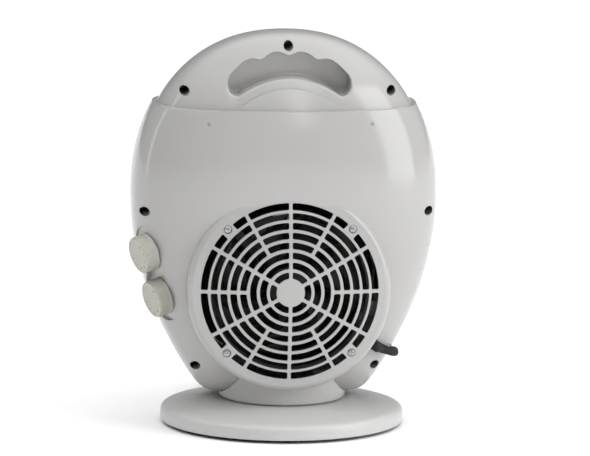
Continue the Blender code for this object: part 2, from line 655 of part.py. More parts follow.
def make_foot(plastic, steel, rubber, black):
    """Foot: cover, bottom plate with its pivot post, track, screws and pads."""
    screw_places = [(BASE_SCREW_RADIUS * math.cos(a), BASE_SCREW_RADIUS * math.sin(a)) for a in
                    [math.radians(45 + 90 * i) for i in range(4)]]
    cover = ((45.0, BASE_TOP_Z), (54.0, BASE_TOP_Z), (90.5, 14.6), (94.0, 13.4), (95.6, 11.4),
             (BASE_RADIUS, 9.0), (BASE_RADIUS, 3.6), (95.4, 2.6), (93.2, 2.6), (93.2, 9.0), (89.5, 11.9),
             (54.0, 18.5), (45.0, 18.5))
    foot = tool(turned(cover, 40))
    bosses = bmesh.new()
    bores = bmesh.new()
    for x, y in screw_places:
        add_turned(bosses, rod(4.2, 5.3, 15.5), 10, Matrix.Translation((x, y, 0.0)))
        add_turned(bores, rod(1.8, 0.0, 12.5), 8, Matrix.Translation((x, y, 0.0)))
    combine(foot, tool(bosses), "UNION")
    combine(foot, tool(bores))
    settle(foot, "base_cover", plastic)

    plate_profile = ((3.2, 26.0), (9.3, 26.0), (9.3, 20.0), (15.5, 20.0), (17.0, 5.0), (92.8, 5.0),
                     (92.8, 2.6), (3.2, 2.6))
    plate = tool(turned(plate_profile, 36))
    for x, y in screw_places:
        place = Matrix.Translation((x, y, 0.0))
        combine(plate, tool(turned(rod(1.8, 0.0, 10.0), 8, place)))
        combine(plate, tool(turned(rod(3.5, 0.0, 3.8), 10, place)))
    hole = tool(turned(rod(3.4, 0.0, 12.0), 14, Matrix.Translation((PLUNGER_X, PLUNGER_Y, 0.0))))
    combine(plate, hole)
    settle(plate, "base_plate", black)

    screw = ((0.0, 11.5), (1.5, 11.0), (1.5, 3.5), (3.1, 3.5), (3.1, 2.7), (0.0, 2.7))
    copies("base_screw", turned(screw, 10), steel, [(x, y, 0.0) for x, y in screw_places])
    pad = ((0.0, 2.3), (7.0, 2.3), (7.0, 0.6), (6.4, 0.0), (0.0, 0.0))
    pad_angles = [math.radians(90 * i) for i in range(4)]
    copies("rubber_foot", turned(pad, 16), rubber,
           [(PAD_RADIUS * math.cos(angle), PAD_RADIUS * math.sin(angle), 0.0) for angle in pad_angles])

    finish("swivel_washer", turned(tube(9.7, 15.5, 20.3, NECK_FLOOR_Z - GAP), 28), steel)
    pivot = ((0.0, 28.6), (4.0, 28.6), (12.0, 27.6), (12.0, 26.3), (2.9, 26.3), (2.9, 8.0), (0.0, 7.0))
    finish("pivot_screw", turned(pivot, 24), steel)

    near, far = CRANK_SHAFT_RADIUS - 4.0, CRANK_SHAFT_RADIUS + CRANK_LENGTH + 6.0
    track = tool(add_box(bmesh.new(), (-7.0, -far - 3.0, 5.3), (7.0, -near, TRACK_TOP_Z)))
    combine(track, tool(add_box(bmesh.new(), (-3.2, -far, 9.0), (3.2, -near - 3.0, 30.0))))
    settle(track, "crank_track", plastic)


def make_tip_switch(plastic, black):
    """Tip-over switch: its plunger is pushed in while the foot stands on something."""
    place = Matrix.Translation((PLUNGER_X, PLUNGER_Y, 0.0))
    body = tool(add_box(bmesh.new(), (PLUNGER_X - 9.0, PLUNGER_Y - 6.0, 5.3),
                        (PLUNGER_X + 9.0, PLUNGER_Y + 6.0, 15.6)))
    combine(body, tool(turned(rod(3.4, 0.0, 13.6), 14, place)))
    settle(body, "tip_switch", black)
    plunger = ((0.0, 13.0), (3.0, 13.0), (3.0, 1.2), (2.2, 0.1), (0.0, 0.1))
    finish("tip_plunger", turned(plunger, 16, place), plastic)


def smooth_route(points, spacing=11.0):
    """Catmull-Rom curve through the points, read off at an even spacing."""
    ends = [points[0] * 2 - points[1]] + points + [points[-1] * 2 - points[-2]]
    fine = []
    for before, start, end, after in zip(ends, ends[1:], ends[2:], ends[3:]):
        for i in range(20):
            t = i / 20
            fine.append(0.5 * (2 * start + (end - before) * t
                               + (2 * before - 5 * start + 4 * end - after) * t * t
                               + (3 * start - before - 3 * end + after) * t ** 3))
    fine.append(points[-1])
    lengths = [0.0]
    for first, second in zip(fine, fine[1:]):
        lengths.append(lengths[-1] + (second - first).length)
    count = max(3, round(lengths[-1] / spacing))
    even, j = [], 0
    for i in range(count + 1):
        target = lengths[-1] * i / count
        while j < len(lengths) - 2 and lengths[j + 1] < target:
            j += 1
        share = (target - lengths[j]) / (lengths[j + 1] - lengths[j])
        even.append(fine[j].lerp(fine[j + 1], min(max(share, 0.0), 1.0)))
    return even


def make_lead_piece(name, route, rubber):
    """A stretch of round lead along a smooth route of vectors."""
    curve = bpy.data.curves.new(name, "CURVE")
    curve.dimensions = "3D"
    curve.bevel_depth = LEAD_RADIUS * MM
    curve.bevel_resolution = 2
    curve.use_fill_caps = True
    points = route[:1] + smooth_route(route[1:-1]) + route[-1:]
    spline = curve.splines.new("POLY")
    spline.points.add(len(points) - 1)
    for target, point in zip(spline.points, points):
        target.co = (*(point * MM), 1.0)
    curve.materials.append(rubber)
    made = bpy.data.objects.new(name, curve)
    bpy.context.scene.collection.objects.link(made)
    return made


def make_lead(rubber, plug_plastic):
    """Mains lead down to its coil on the floor, and the tail to the plug."""
    start = LEAD_EXIT + SLEEVE_DIRECTION * (SLEEVE_LENGTH + GAP)
    lead = [start, start + SLEEVE_DIRECTION * 2.5] + [Vector(point) for point in LEAD_ROUTE]
    make_lead_piece("cord_lead", lead + [lead[-1] + Vector((0.0, -1.0, 0.0))], rubber)
    tail = [Vector(point) for point in TAIL_ROUTE]
    entry = (tail[1] - tail[0]).normalized()
    make_lead_piece("cord_tail", [tail[0] - entry] + tail + [PLUG_START - Vector((0.0, GAP, 0.0))], rubber)
    low, high = 0.3, COIL_HEIGHT
    inner, outer = COIL_RADIUS - COIL_HALF_WIDTH, COIL_RADIUS + COIL_HALF_WIDTH
    ring = ((inner, low + 2.0), (inner, high - 2.0), (inner + 2.0, high), (outer - 2.0, high),
            (outer, high - 2.0), (outer, low + 2.0), (outer - 2.0, low), (inner + 2.0, low))
    finish("cord_coil", turned(ring[::-1], 26, Matrix.Translation(COIL_CENTRE)), rubber)

    place = along((0.0, 1.0, 0.0), PLUG_START)
    plug = tool(turned(((0.0, 42.0), (9.0, 42.0), (10.0, 40.0), (10.0, 18.0), (6.5, 12.0), (4.2, 10.0),
                        (3.2, 0.0), (0.0, 0.0)), 20, place))
    for side in (-1, 1):
        pin = turned(rod(2.0, 38.0, 61.0), 12, place @ Matrix.Translation((side * 5.0, 0.0, 0.0)))
        combine(plug, tool(pin), "UNION")
    settle(plug, "mains_plug", plug_plastic)


def main():
    """Make every piece."""
    clear_scene()
    white = material("gloss_white_plastic", (0.78, 0.79, 0.80), 0.22)
    satin = material("satin_white_plastic", (0.80, 0.80, 0.80), 0.42)
    knob_white = material("warm_white_plastic", (0.80, 0.79, 0.76), 0.30)
    black = material("black_plastic", (0.02, 0.02, 0.02), 0.5)
    ivory = material("heatproof_plastic", (0.35, 0.33, 0.30), 0.6)
    steel = material("zinc_plated_steel", (0.62, 0.62, 0.62), 0.35, 1.0)
    ceramic = material("dark_ceramic", (0.20, 0.18, 0.16), 0.7)
    rubber = material("black_rubber", (0.015, 0.015, 0.015), 0.6)
    make_rear_shell(white)
    make_front_shell(white)
    make_outlet_grille(white)
    make_case_screws(steel)
    make_grille_screws(steel)
    make_fan_shroud(black)
    make_motor_bracket(steel)
    make_motor(steel)
    make_motor_shaft(steel)
    make_impeller(black)
    make_heater_frame(ivory)
    make_heater_element(ceramic)
    make_thermal_cutout(steel)
    make_control("thermostat", knob_white, steel, black)
    make_control("selector", knob_white, steel, black)
    make_bush(rubber)
    make_inner_electrics(ivory, steel)
    make_swivel_collar(white)
    make_swivel(steel, ivory)
    make_foot(satin, steel, rubber, black)
    make_tip_switch(ivory, black)
    make_lead(rubber, rubber)


if __name__ == "__main__":
    main()
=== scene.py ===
"""Fan convector heater: the finished look of every piece, on the frame that the CAD model gives."""
import math

import bmesh
import bpy
from mathutils import Matrix, Vector


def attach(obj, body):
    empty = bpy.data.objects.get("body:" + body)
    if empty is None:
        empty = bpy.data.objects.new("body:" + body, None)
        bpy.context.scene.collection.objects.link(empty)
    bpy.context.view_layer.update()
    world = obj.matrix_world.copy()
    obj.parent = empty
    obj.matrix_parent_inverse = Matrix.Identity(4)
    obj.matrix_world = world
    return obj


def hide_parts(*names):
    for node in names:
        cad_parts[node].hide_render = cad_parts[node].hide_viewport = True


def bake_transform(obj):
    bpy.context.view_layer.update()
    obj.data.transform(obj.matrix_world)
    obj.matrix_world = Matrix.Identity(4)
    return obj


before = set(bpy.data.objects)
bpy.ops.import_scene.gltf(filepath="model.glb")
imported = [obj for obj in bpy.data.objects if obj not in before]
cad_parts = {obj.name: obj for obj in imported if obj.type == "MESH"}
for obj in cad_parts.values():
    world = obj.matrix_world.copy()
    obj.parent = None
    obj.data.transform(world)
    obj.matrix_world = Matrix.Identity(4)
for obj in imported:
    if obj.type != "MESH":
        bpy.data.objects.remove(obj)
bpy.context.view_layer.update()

bl_info = {
    "name": "Fan convector heater",
    "version": (1, 0, 0),
    "blender": (4, 5, 0),
    "location": "View3D > Sidebar > Heater",
    "description": "Makes the finished pieces of a swivelling fan heater",
    "category": "Object",
}

# Millimetres from here on; MM turns a finished mesh into metres
MM = 0.001
PARTING_Y = -8.0
GAP = 0.3
WALL = 2.5
HALF_WIDTH = 120.5
WIDEST_Z = 182.0
TOP_HEIGHT = 130.5
FOOT_DEPTH = 157.5
TOP_POWER = 2.2
LOWER_TAPER = 0.476
CORNER_POWER = 36.0
REAR_BULGE = 70.0
FRONT_BULGE = 60.0
REAR_POWERS = (2.4, 2.8)
FRONT_POWERS = (4.0, 2.5)
STEP_Z = 255.0
STEP_INSET = 4.2

FAN_Z = 115.0
DRUM_RADIUS = 80.0
DRUM_RIM_Y = 61.5
DRUM_DOME = 9.0
SLOT_RINGS = ((11.1, 16.3, 6), (18.7, 24.0, 6), (26.5, 31.7, 6), (34.2, 39.4, 12), (41.8, 47.0, 12),
              (49.3, 54.6, 12), (56.7, 62.1, 12), (64.1, 69.7, 12))
SPOKE = 2.7
GRILLE_SCREW_RADIUS = 69.0
OUTLET_RADIUS = 76.0

# Finger pocket: an arch under a row of scallops
HANDLE_HALF = 38.5
HANDLE_MIDDLE_Z = 279.4
HANDLE_RISE = 12.6
HANDLE_TOP_Z = 296.0
HANDLE_CROWN = 0.0062
HANDLE_FLOOR_Y = 20.0
SCALLOP_PITCH = 44.0
SCALLOP_DEPTH = 4.0
SCALLOP_SOFTNESS = 0.22

# Screws and the holes that they sit in
CASE_SCREWS = ((0, 303), (81, 268), (-81, 268), (111.6, 173), (-111.6, 173), (70.7, 50), (-70.7, 50))
WELL_RADIUS = 3.75
WELL_FLOOR_Y = PARTING_Y + 5.0
CASE_HOLE_RADIUS = 1.9
GRILLE_WELL_Y = DRUM_RIM_Y - 0.6
BASE_SCREW_RADIUS = 75.0
PAD_RADIUS = 82.0
PIP_PLACES = ((64.0, 245.0), (-64.0, 245.0))
PIP_RADIUS = 1.7

CONTROL_AXIS = Vector((0.885, 0.38, -0.27)).normalized()
KNOB_FACES = {"thermostat": Vector((116.8, 30.0, 138.0)), "selector": Vector((106.1, 30.0, 103.0))}
KNOB_RADIUS = 15.0
KNOB_HEIGHT = 11.5
KNOB_LIFT = 0.4
POCKET_RADIUS = 20.5

BASE_RADIUS = 96.0
BASE_TOP_Z = 21.0
NECK_RADIUS = 50.0
NECK_FLOOR_Z = 21.6

LEAD_RADIUS = 2.6
LEAD_EXIT = Vector((-70.8, 42.2, 67.2))
EXIT_NORMAL = Vector((-0.553, 0.771, -0.315)).normalized()
SLEEVE_DIRECTION = Vector((-0.72, -0.6, -0.35)).normalized()
SLEEVE_LENGTH = 20.0
COIL_CENTRE = Vector((-12.0, -168.0, 0.0))
COIL_RADIUS = 34.1
COIL_DEGREES = 5 * 360.0 + 110.0
COIL_POINTS = 96
LEAD_ROUTE = ((-88.0, 16.0, 58.6), (-89.4, 2.0, 57.0), (-87.8, -13.0, 55.0), (-83.0, -29.0, 52.0),
              (-76.0, -45.0, 47.8), (-67.5, -60.5, 42.0), (-59.0, -75.0, 34.5), (-52.5, -89.0, 25.5),
              (-48.5, -102.5, 16.0), (-46.5, -115.5, 8.2), (-46.0, -127.5, 4.0), (-46.0, -138.0, 3.0),
              (-46.0, -148.0, 2.9))
TAIL_ROUTE = ((10.9, -193.2, 8.2), (17.6, -190.8, 7.6), (23.4, -188.6, 6.6), (31.5, -184.6, 5.6),
              (37.6, -178.4, 5.6), (41.4, -170.5, 7.2), (42.9, -163.0, 9.2), (43.2, -158.8, 10.0),
              (43.2, -155.9, 10.2))

# Camera, in degrees, millimetres of lens and metres
CAMERA_ANGLES = (174.8, 9.3, 0.65)
CAMERA_LENS = 385.0
CAMERA_AWAY = 5.0
CAMERA_SHIFT = (0.0091, 0.1529)


class HeaterColours(bpy.types.PropertyGroup):
    """Colours that a user would change, as sRGB hex text."""

    casing: bpy.props.StringProperty(name="Casing", description="Glossy ABS casing", default="#B3B2B1")
    foot: bpy.props.StringProperty(name="Foot", description="Satin ABS foot", default="#C6C6C5")
    knobs: bpy.props.StringProperty(name="Knobs", description="Slightly warm ABS knobs", default="#B0ADA3")
    dark: bpy.props.StringProperty(name="Dark plastic", description="Fan and switches", default="#141414")
    lead: bpy.props.StringProperty(name="Mains lead", description="PVC lead and plug", default="#0A0A0B")
    floor: bpy.props.StringProperty(name="Floor", description="Studio floor", default="#FFFFFF")


class HeaterSizes(bpy.types.PropertyGroup):
    """Sizes that a user would change."""

    casing_steps: bpy.props.IntProperty(name="Casing steps", description="Points round the casing",
                                        default=216, min=48, max=400)
    casing_bands: bpy.props.IntProperty(name="Casing bands", description="Rings from rim to middle",
                                        default=44, min=12, max=90)
    knob_ribs: bpy.props.IntProperty(name="Knob ribs", description="Grip ribs round each knob",
                                     default=40, min=0, max=80)
    dial_marks: bpy.props.IntProperty(name="Dial marks", description="Printed marks on each dial",
                                      default=7, min=2, max=12)


def colours():
    """The colour settings of this scene."""
    return bpy.context.scene.heater_colours


def sizes():
    """The size settings of this scene."""
    return bpy.context.scene.heater_sizes


# ---------------------------------------------------------------- shape tools

def weld(bm):
    """Merge touching points and turn every face outwards."""
    bmesh.ops.remove_doubles(bm, verts=bm.verts, dist=1e-4)
    bmesh.ops.recalc_face_normals(bm, faces=bm.faces)
    return bm


def add_turned(bm, profile, steps=48, place=Matrix.Identity(4)):
    """Turn a closed outline of (radius, height) about Z, then move it into place."""
    kept = set(bm.verts)
    points = [bm.verts.new((radius, 0.0, height)) for radius, height in profile]
    loop = points + [points[0]]
    edges = [bm.edges.new(pair) for pair in zip(loop, loop[1:])
             if pair[0].co.x > 1e-6 or pair[1].co.x > 1e-6]
    bmesh.ops.spin(bm, geom=points + edges, cent=(0, 0, 0), axis=(0, 0, 1),
                   angle=math.tau, steps=steps, use_merge=True)
    added = [vert for vert in bm.verts if vert not in kept]
    bmesh.ops.transform(bm, matrix=place, verts=added)
    return weld(bm)


def turned(profile, steps=48, place=Matrix.Identity(4)):
    """A fresh bmesh holding one turned solid."""
    return add_turned(bmesh.new(), profile, steps, place)


def rod(radius, low, high):
    """Outline of a plain cylinder."""
    return ((0.0, high), (radius, high), (radius, low), (0.0, low))


def rounded(profile, radius, steps=4):
    """The outline with every corner but its two ends turned into a short curve."""
    result = [profile[0]]
    for before, corner, after in zip(profile, profile[1:], profile[2:]):
        a, b, c = Vector(before), Vector(corner), Vector(after)
        cut = min(radius, (a - b).length * 0.45, (c - b).length * 0.45)
        start, end = b + (a - b).normalized() * cut, b + (c - b).normalized() * cut
        for i in range(steps + 1):
            t = i / steps
            result.append(tuple(start * (1 - t) ** 2 + b * (2 * t * (1 - t)) + end * t * t))
    result.append(profile[-1])
    return result


def along(direction, origin=(0.0, 0.0, 0.0)):
    """Placement that lays local +Z along a direction, starting at origin."""
    turn = Vector(direction).to_track_quat("Z", "Y").to_matrix().to_4x4()
    return Matrix.Translation(Vector(origin)) @ turn


FAN_PLACE = Matrix.Translation((0.0, 0.0, FAN_Z)) @ Matrix.Rotation(-math.pi / 2, 4, "X")
UPRIGHT = Matrix(((1, 0, 0, 0), (0, 0, 1, 0), (0, 1, 0, 0), (0, 0, 0, 1)))
ONTO_Y = Matrix.Rotation(-math.pi / 2, 4, "X")


def add_box(bm, low, high):
    """A box between two corners."""
    made = bmesh.ops.create_cube(bm, size=1.0)
    middle = (Vector(low) + Vector(high)) / 2
    size = Vector(high) - Vector(low)
    bmesh.ops.transform(bm, matrix=Matrix.Translation(middle) @ Matrix.Diagonal((*size, 1.0)),
                        verts=made["verts"])
    return bm


def add_loft(bm, rings):
    """Closed solid through rings of points, each ring with the same number of points."""
    rows = [[bm.verts.new(point) for point in ring] for ring in rings]
    faces = [bm.faces.new(rows[0]), bm.faces.new(rows[-1])]
    for lower, upper in zip(rows, rows[1:]):
        for i in range(len(lower)):
            faces.append(bm.faces.new((lower[i - 1], lower[i], upper[i], upper[i - 1])))
    bmesh.ops.recalc_face_normals(bm, faces=faces)
    return bm


def add_prism(bm, outline, low, high, place=Matrix.Identity(4)):
    """Extrude a flat outline of (x, y) from one height to another."""
    return add_loft(bm, [[place @ Vector((x, y, height)) for x, y in outline] for height in (low, high)])


def link(name, mesh):
    """A new object in the scene."""
    made = bpy.data.objects.new(name, mesh)
    bpy.context.scene.collection.objects.link(made)
    return made


def blank(bm):
    """A throwaway object in millimetres for a Boolean."""
    mesh = bpy.data.meshes.new("blank")
    bm.to_mesh(mesh)
    bm.free()
    return link("blank", mesh)


def shown_mesh(made):
    """A plain mesh of an object as its modifiers show it."""
    graph = bpy.context.evaluated_depsgraph_get()
    return bpy.data.meshes.new_from_object(made.evaluated_get(graph))


def combine(target, tool, operation="DIFFERENCE"):
    """Boolean the tool into the target and throw the tool away."""
    modifier = target.modifiers.new("combine", "BOOLEAN")
    modifier.object = tool
    modifier.operation = operation
    modifier.solver = "MANIFOLD"
    mesh = shown_mesh(target)
    target.modifiers.clear()
    target.data = mesh
    bpy.data.objects.remove(tool, do_unlink=True)
    return target


def piece(made, name, surface, body, nodes, angle=32.0):
    """Bring a piece from millimetres to metres, finish it and hand it to its body."""
    made.data.transform(Matrix.Scale(MM, 4))
    made.name = name
    made.data.name = name
    made.data.materials.clear()
    made.data.materials.append(surface)
    made.data.shade_smooth()
    made.data.set_sharp_from_angle(angle=math.radians(angle))
    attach(made, body)
    if nodes:
        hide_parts(*nodes)
    return made


# ---------------------------------------------------------------- materials

def linear(hex_text):
    """sRGB hex text as linear RGBA."""
    values = [int(hex_text[i:i + 2], 16) / 255 for i in (1, 3, 5)]
    return (*[v / 12.92 if v <= 0.04045 else ((v + 0.055) / 1.055) ** 2.4 for v in values], 1.0)


def node(tree, kind, settings=None, links=None):
    """Add a node, set its properties and sockets, and link its inputs."""
    made = tree.nodes.new(kind)
    for key, value in (settings or {}).items():
        if isinstance(key, int) or key in made.inputs:
            made.inputs[key].default_value = value
        else:
            setattr(made, key, value)
    for key, source in (links or {}).items():
        tree.links.new(source, made.inputs[key])
    return made


def begin(name):
    """A new node material, with its shader and its Object coordinates."""
    made = bpy.data.materials.new(name)
    made.use_nodes = True
    place = node(made.node_tree, "ShaderNodeTexCoord").outputs["Object"]
    return made, made.node_tree.nodes["Principled BSDF"], place


def plastic(name, hex_text, roughness, grain_mm, grain_depth, edge_mm, mottle=0.03, **shader):
    """Moulded plastic: even colour, faint flow mottling, a fine grain and softened moulded edges."""
    made, surface, place = begin(name)
    tree = made.node_tree
    base = linear(hex_text)
    for key, value in shader.items():
        surface.inputs[key.replace("_", " ")].default_value = value
    flow = node(tree, "ShaderNodeTexNoise", {"Scale": 18.0, "Detail": 3.0}, {"Vector": place})
    darker = tuple(value * (1 - mottle) for value in base[:3]) + (1.0,)
    tint = node(tree, "ShaderNodeMix", {"data_type": "RGBA", 6: darker, 7: base}, {0: flow.outputs["Fac"]})
    gloss = node(tree, "ShaderNodeMapRange", {"To Min": roughness * 0.85, "To Max": roughness * 1.15},
                 {"Value": flow.outputs["Fac"]})
    grain = node(tree, "ShaderNodeTexNoise", {"Scale": 1.0 / (grain_mm * MM), "Detail": 2.0},
                 {"Vector": place})
    edge = node(tree, "ShaderNodeBevel", {"samples": 6, "Radius": edge_mm * MM})
    bump = node(tree, "ShaderNodeBump", {"Strength": 0.4, "Distance": grain_depth * MM},
                {"Height": grain.outputs["Fac"], "Normal": edge.outputs["Normal"]})
    tree.links.new(tint.outputs[2], surface.inputs["Base Color"])
    tree.links.new(gloss.outputs["Result"], surface.inputs["Roughness"])
    tree.links.new(bump.outputs["Normal"], surface.inputs["Normal"])
    return made


def steel(name, hex_text, roughness, grain_mm=0.4):
    """Plated or rolled steel: metallic, with fine scatter in its roughness."""
    made, surface, place = begin(name)
    tree = made.node_tree
    surface.inputs["Metallic"].default_value = 1.0
    surface.inputs["Base Color"].default_value = linear(hex_text)
    scatter = node(tree, "ShaderNodeTexNoise", {"Scale": 1.0 / (grain_mm * MM), "Detail": 4.0},
                   {"Vector": place})
    gloss = node(tree, "ShaderNodeMapRange", {"To Min": roughness * 0.7, "To Max": roughness * 1.3},
                 {"Value": scatter.outputs["Fac"]})
    bump = node(tree, "ShaderNodeBump", {"Strength": 0.2, "Distance": 0.05 * MM},
                {"Height": scatter.outputs["Fac"]})
    tree.links.new(gloss.outputs["Result"], surface.inputs["Roughness"])
    tree.links.new(bump.outputs["Normal"], surface.inputs["Normal"])
    return made


MATERIALS = {}


def finish_of(name):
    """A finish by name, made once."""
    if name in MATERIALS:
        return MATERIALS[name]
    shade = colours()
    makers = {
        # injection-moulded glossy ABS: clear reflections with a barely uneven skin
        "gloss_abs": lambda: plastic("gloss_abs", shade.casing, 0.16, 9.0, 0.05, 0.7, 0.03, IOR=1.53),
        # the foot has a finer, duller skin
        "satin_abs": lambda: plastic("satin_abs", shade.foot, 0.38, 1.2, 0.03, 0.8, 0.03, IOR=1.53),
        # knobs are moulded apart from the casing, a little warmer
        "knob_abs": lambda: plastic("knob_abs", shade.knobs, 0.30, 1.5, 0.03, 0.5, 0.04, IOR=1.53),
        # black polypropylene, semi-matt
        "black_polypropylene": lambda: plastic("black_polypropylene", shade.dark, 0.42, 0.8, 0.04, 0.4),
        # phenolic moulding, brownish and dull
        "phenolic": lambda: plastic("phenolic", "#8A8173", 0.6, 0.7, 0.06, 0.4, 0.12),
        # fired ceramic element, chalky and dark
        "fired_ceramic": lambda: plastic("fired_ceramic", "#6B655C", 0.8, 0.5, 0.10, 0.3, 0.2),
        # extruded PVC sheath, soft sheen with faint ripples
        "black_pvc": lambda: plastic("black_pvc", shade.lead, 0.6, 1.6, 0.05, 0.3),
        # moulded rubber, dusty matt
        "black_rubber": lambda: plastic("black_rubber", "#17171A", 0.75, 0.6, 0.06, 0.3),
        # pad-printed ink
        "black_ink": lambda: plastic("black_ink", "#1A1A1A", 0.5, 0.5, 0.0, 0.05),
        # baked black enamel on pressed steel, thin and slightly glossy
        "black_enamel": lambda: plastic("black_enamel", "#111113", 0.35, 1.0, 0.02, 0.3),
        # zinc plating: pale, soft metallic gleam
        "zinc_plate": lambda: steel("zinc_plate", "#B9BABC", 0.32),
        # rolled sheet, duller and a little darker than plating
        "rolled_steel": lambda: steel("rolled_steel", "#A6A7A9", 0.42, 1.0),
    }
    MATERIALS[name] = makers[name]()
    return MATERIALS[name]


# ---------------------------------------------------------------- casing

def reach(x, z, inset=0.0):
    """1 on the casing outline, less inside it, in proportion to the distance from its middle."""
    wide = abs(x) / (HALF_WIDTH - inset)
    rise = z - WIDEST_Z
    if rise >= 0.0:
        return (wide ** TOP_POWER + (rise / (TOP_HEIGHT - inset * 0.2)) ** TOP_POWER) ** (1 / TOP_POWER)
    drop = -rise / (FOOT_DEPTH - inset)
    side = (wide + math.sqrt(wide * wide + 4 * LOWER_TAPER * drop * drop)) / 2
    return (side ** CORNER_POWER + drop ** CORNER_POWER) ** (1 / CORNER_POWER)


def bulge(part, bulge_depth, powers):
    """Depth of the casing in front of or behind the parting plane at a share of its outline."""
    return bulge_depth * max(0.0, 1.0 - part ** powers[0]) ** (1 / powers[1])


def crown_y(x, z):
    """Y of the rear casing's outer surface above the ledge."""
    depth = REAR_BULGE - STEP_INSET
    return PARTING_Y + GAP / 2 + bulge(reach(x, z, STEP_INSET), depth, REAR_POWERS)


def bulb(rear, inset=0.0, overrun=0.0):
    """Half of the casing as a closed solid, flat where the two halves meet."""
    steps, bands = sizes().casing_steps, sizes().casing_bands
    powers = REAR_POWERS if rear else FRONT_POWERS
    depth = (REAR_BULGE if rear else FRONT_BULGE) - inset
    side = 1.0 if rear else -1.0
    flat = PARTING_Y + side * GAP / 2
    bm = bmesh.new()
    tip = bm.verts.new((0.0, flat + side * depth, WIDEST_Z))
    rings = []
    for band in range(1, bands + 1):
        part = math.sin(band / bands * math.pi / 2) ** (2 / powers[0])
        rings.append((part, flat if band == bands else flat + side * bulge(part, depth, powers)))
    if overrun:
        rings.append((1.0, flat - side * overrun))
    directions = [(math.cos(math.tau * i / steps), math.sin(math.tau * i / steps)) for i in range(steps)]
    lengths = [1.0 / reach(x, WIDEST_Z + z, inset) for x, z in directions]
    circles = [[bm.verts.new((x * length * part, y, WIDEST_Z + z * length * part))
                for (x, z), length in zip(directions, lengths)] for part, y in rings]
    bm.faces.new(circles[-1])
    for i in range(steps):
        bm.faces.new((tip, circles[0][i - 1], circles[0][i]))
        for inner, outer in zip(circles, circles[1:]):
            bm.faces.new((inner[i - 1], outer[i - 1], outer[i], inner[i]))
    bmesh.ops.recalc_face_normals(bm, faces=bm.faces)
    return blank(bm)


def half_casing(rear, shrink=0.0, overrun=0.0):
    """Solid half casing whose crown is set back above the ledge."""
    far = 400.0
    lower = bulb(rear, shrink, overrun)
    combine(lower, blank(add_box(bmesh.new(), (-far, -far, STEP_Z - shrink), (far, far, far))))
    return combine(lower, bulb(rear, shrink + STEP_INSET, overrun), "UNION")


def drum(shrink=0.0, low=0.0, steps=240):
    """Round boss with a domed face that carries the air inlet."""
    edge_start = 74.0
    dome = [(radius, DRUM_RIM_Y + DRUM_DOME * (1 - (radius / 72.0) ** 2) - shrink)
            for radius in [edge_start * i / 24 for i in range(25)]]
    start_y = dome[-1][1]
    fall = start_y - (54.0 - shrink)
    reach_out = DRUM_RADIUS - shrink - edge_start
    rim = [(edge_start + reach_out * math.sin(t) ** 0.9, start_y - fall * (1 - math.cos(t)))
           for t in [math.pi / 2 * i / 10 for i in range(1, 11)]]
    return blank(turned(dome + rim + [(DRUM_RADIUS - shrink, low), (0.0, low)], steps, FAN_PLACE))


def round_holes(places, radius, low, high, steps=24):
    """Cylinders along Y at places in the X-Z plane."""
    bm = bmesh.new()
    for x, z in places:
        add_turned(bm, rod(radius, low, high), steps, Matrix.Translation((x, 0.0, z)) @ ONTO_Y)
    return blank(bm)


def slot_sectors():
    """Angle limits, radii and half spoke widths of every air slot."""
    sectors = []
    half, boss_half = SPOKE / 2, 5.2
    for inner, outer, count in SLOT_RINGS:
        turn = 360.0 / count
        first = 30.0 if count == 6 else 0.0
        for i in range(count):
            start = first + turn * i
            middle = start + turn / 2
            if outer > GRILLE_SCREW_RADIUS and abs(middle % 90 - 45) < 1:
                sectors.append((start, middle, inner, outer, half, boss_half))
                sectors.append((middle, start + turn, inner, outer, boss_half, half))
            else:
                sectors.append((start, start + turn, inner, outer, half, half))
    return sectors


def slot_outline(start, end, inner, outer, first, last, corner=1.3):
    """Outline of one air slot, an arc with rounded corners."""
    def at(share, radius):
        low = math.radians(start) + math.asin(first / radius)
        high = math.radians(end) - math.asin(last / radius)
        angle = low + (high - low) * share
        return (radius * math.cos(angle), FAN_Z + radius * math.sin(angle))

    middle = (inner + outer) / 2
    cut = corner / (math.radians(end - start) * middle)
    steps = max(3, round((end - start) / 3.5))
    turns = [math.pi / 2 * k / 4 for k in range(5)]
    points = []
    for edge, inward, begins, way in ((inner, corner, 0, 1), (outer, -corner, 1, -1)):
        soft = [(cut * (1 - math.cos(t)), edge + inward * (1 - math.sin(t))) for t in turns]
        points += [at(begins + way * share, radius) for share, radius in soft]
        points += [at(begins + way * (cut + (1 - 2 * cut) * i / steps), edge) for i in range(1, steps)]
        points += [at(begins + way * (1 - share), radius) for share, radius in reversed(soft)]
    return points


def slot_cutter():
    """All the air slots as prisms through the drum's face."""
    bm = bmesh.new()
    for sector in slot_sectors():
        add_prism(bm, slot_outline(*sector), DRUM_RIM_Y - 15.0, DRUM_RIM_Y + 20.0, UPRIGHT)
    return blank(bm)


def grille_screw_places():
    """Four places on the diagonals of the air inlet."""
    offset = GRILLE_SCREW_RADIUS / math.sqrt(2)
    return [(x * offset, FAN_Z + z * offset) for x in (-1, 1) for z in (-1, 1)]


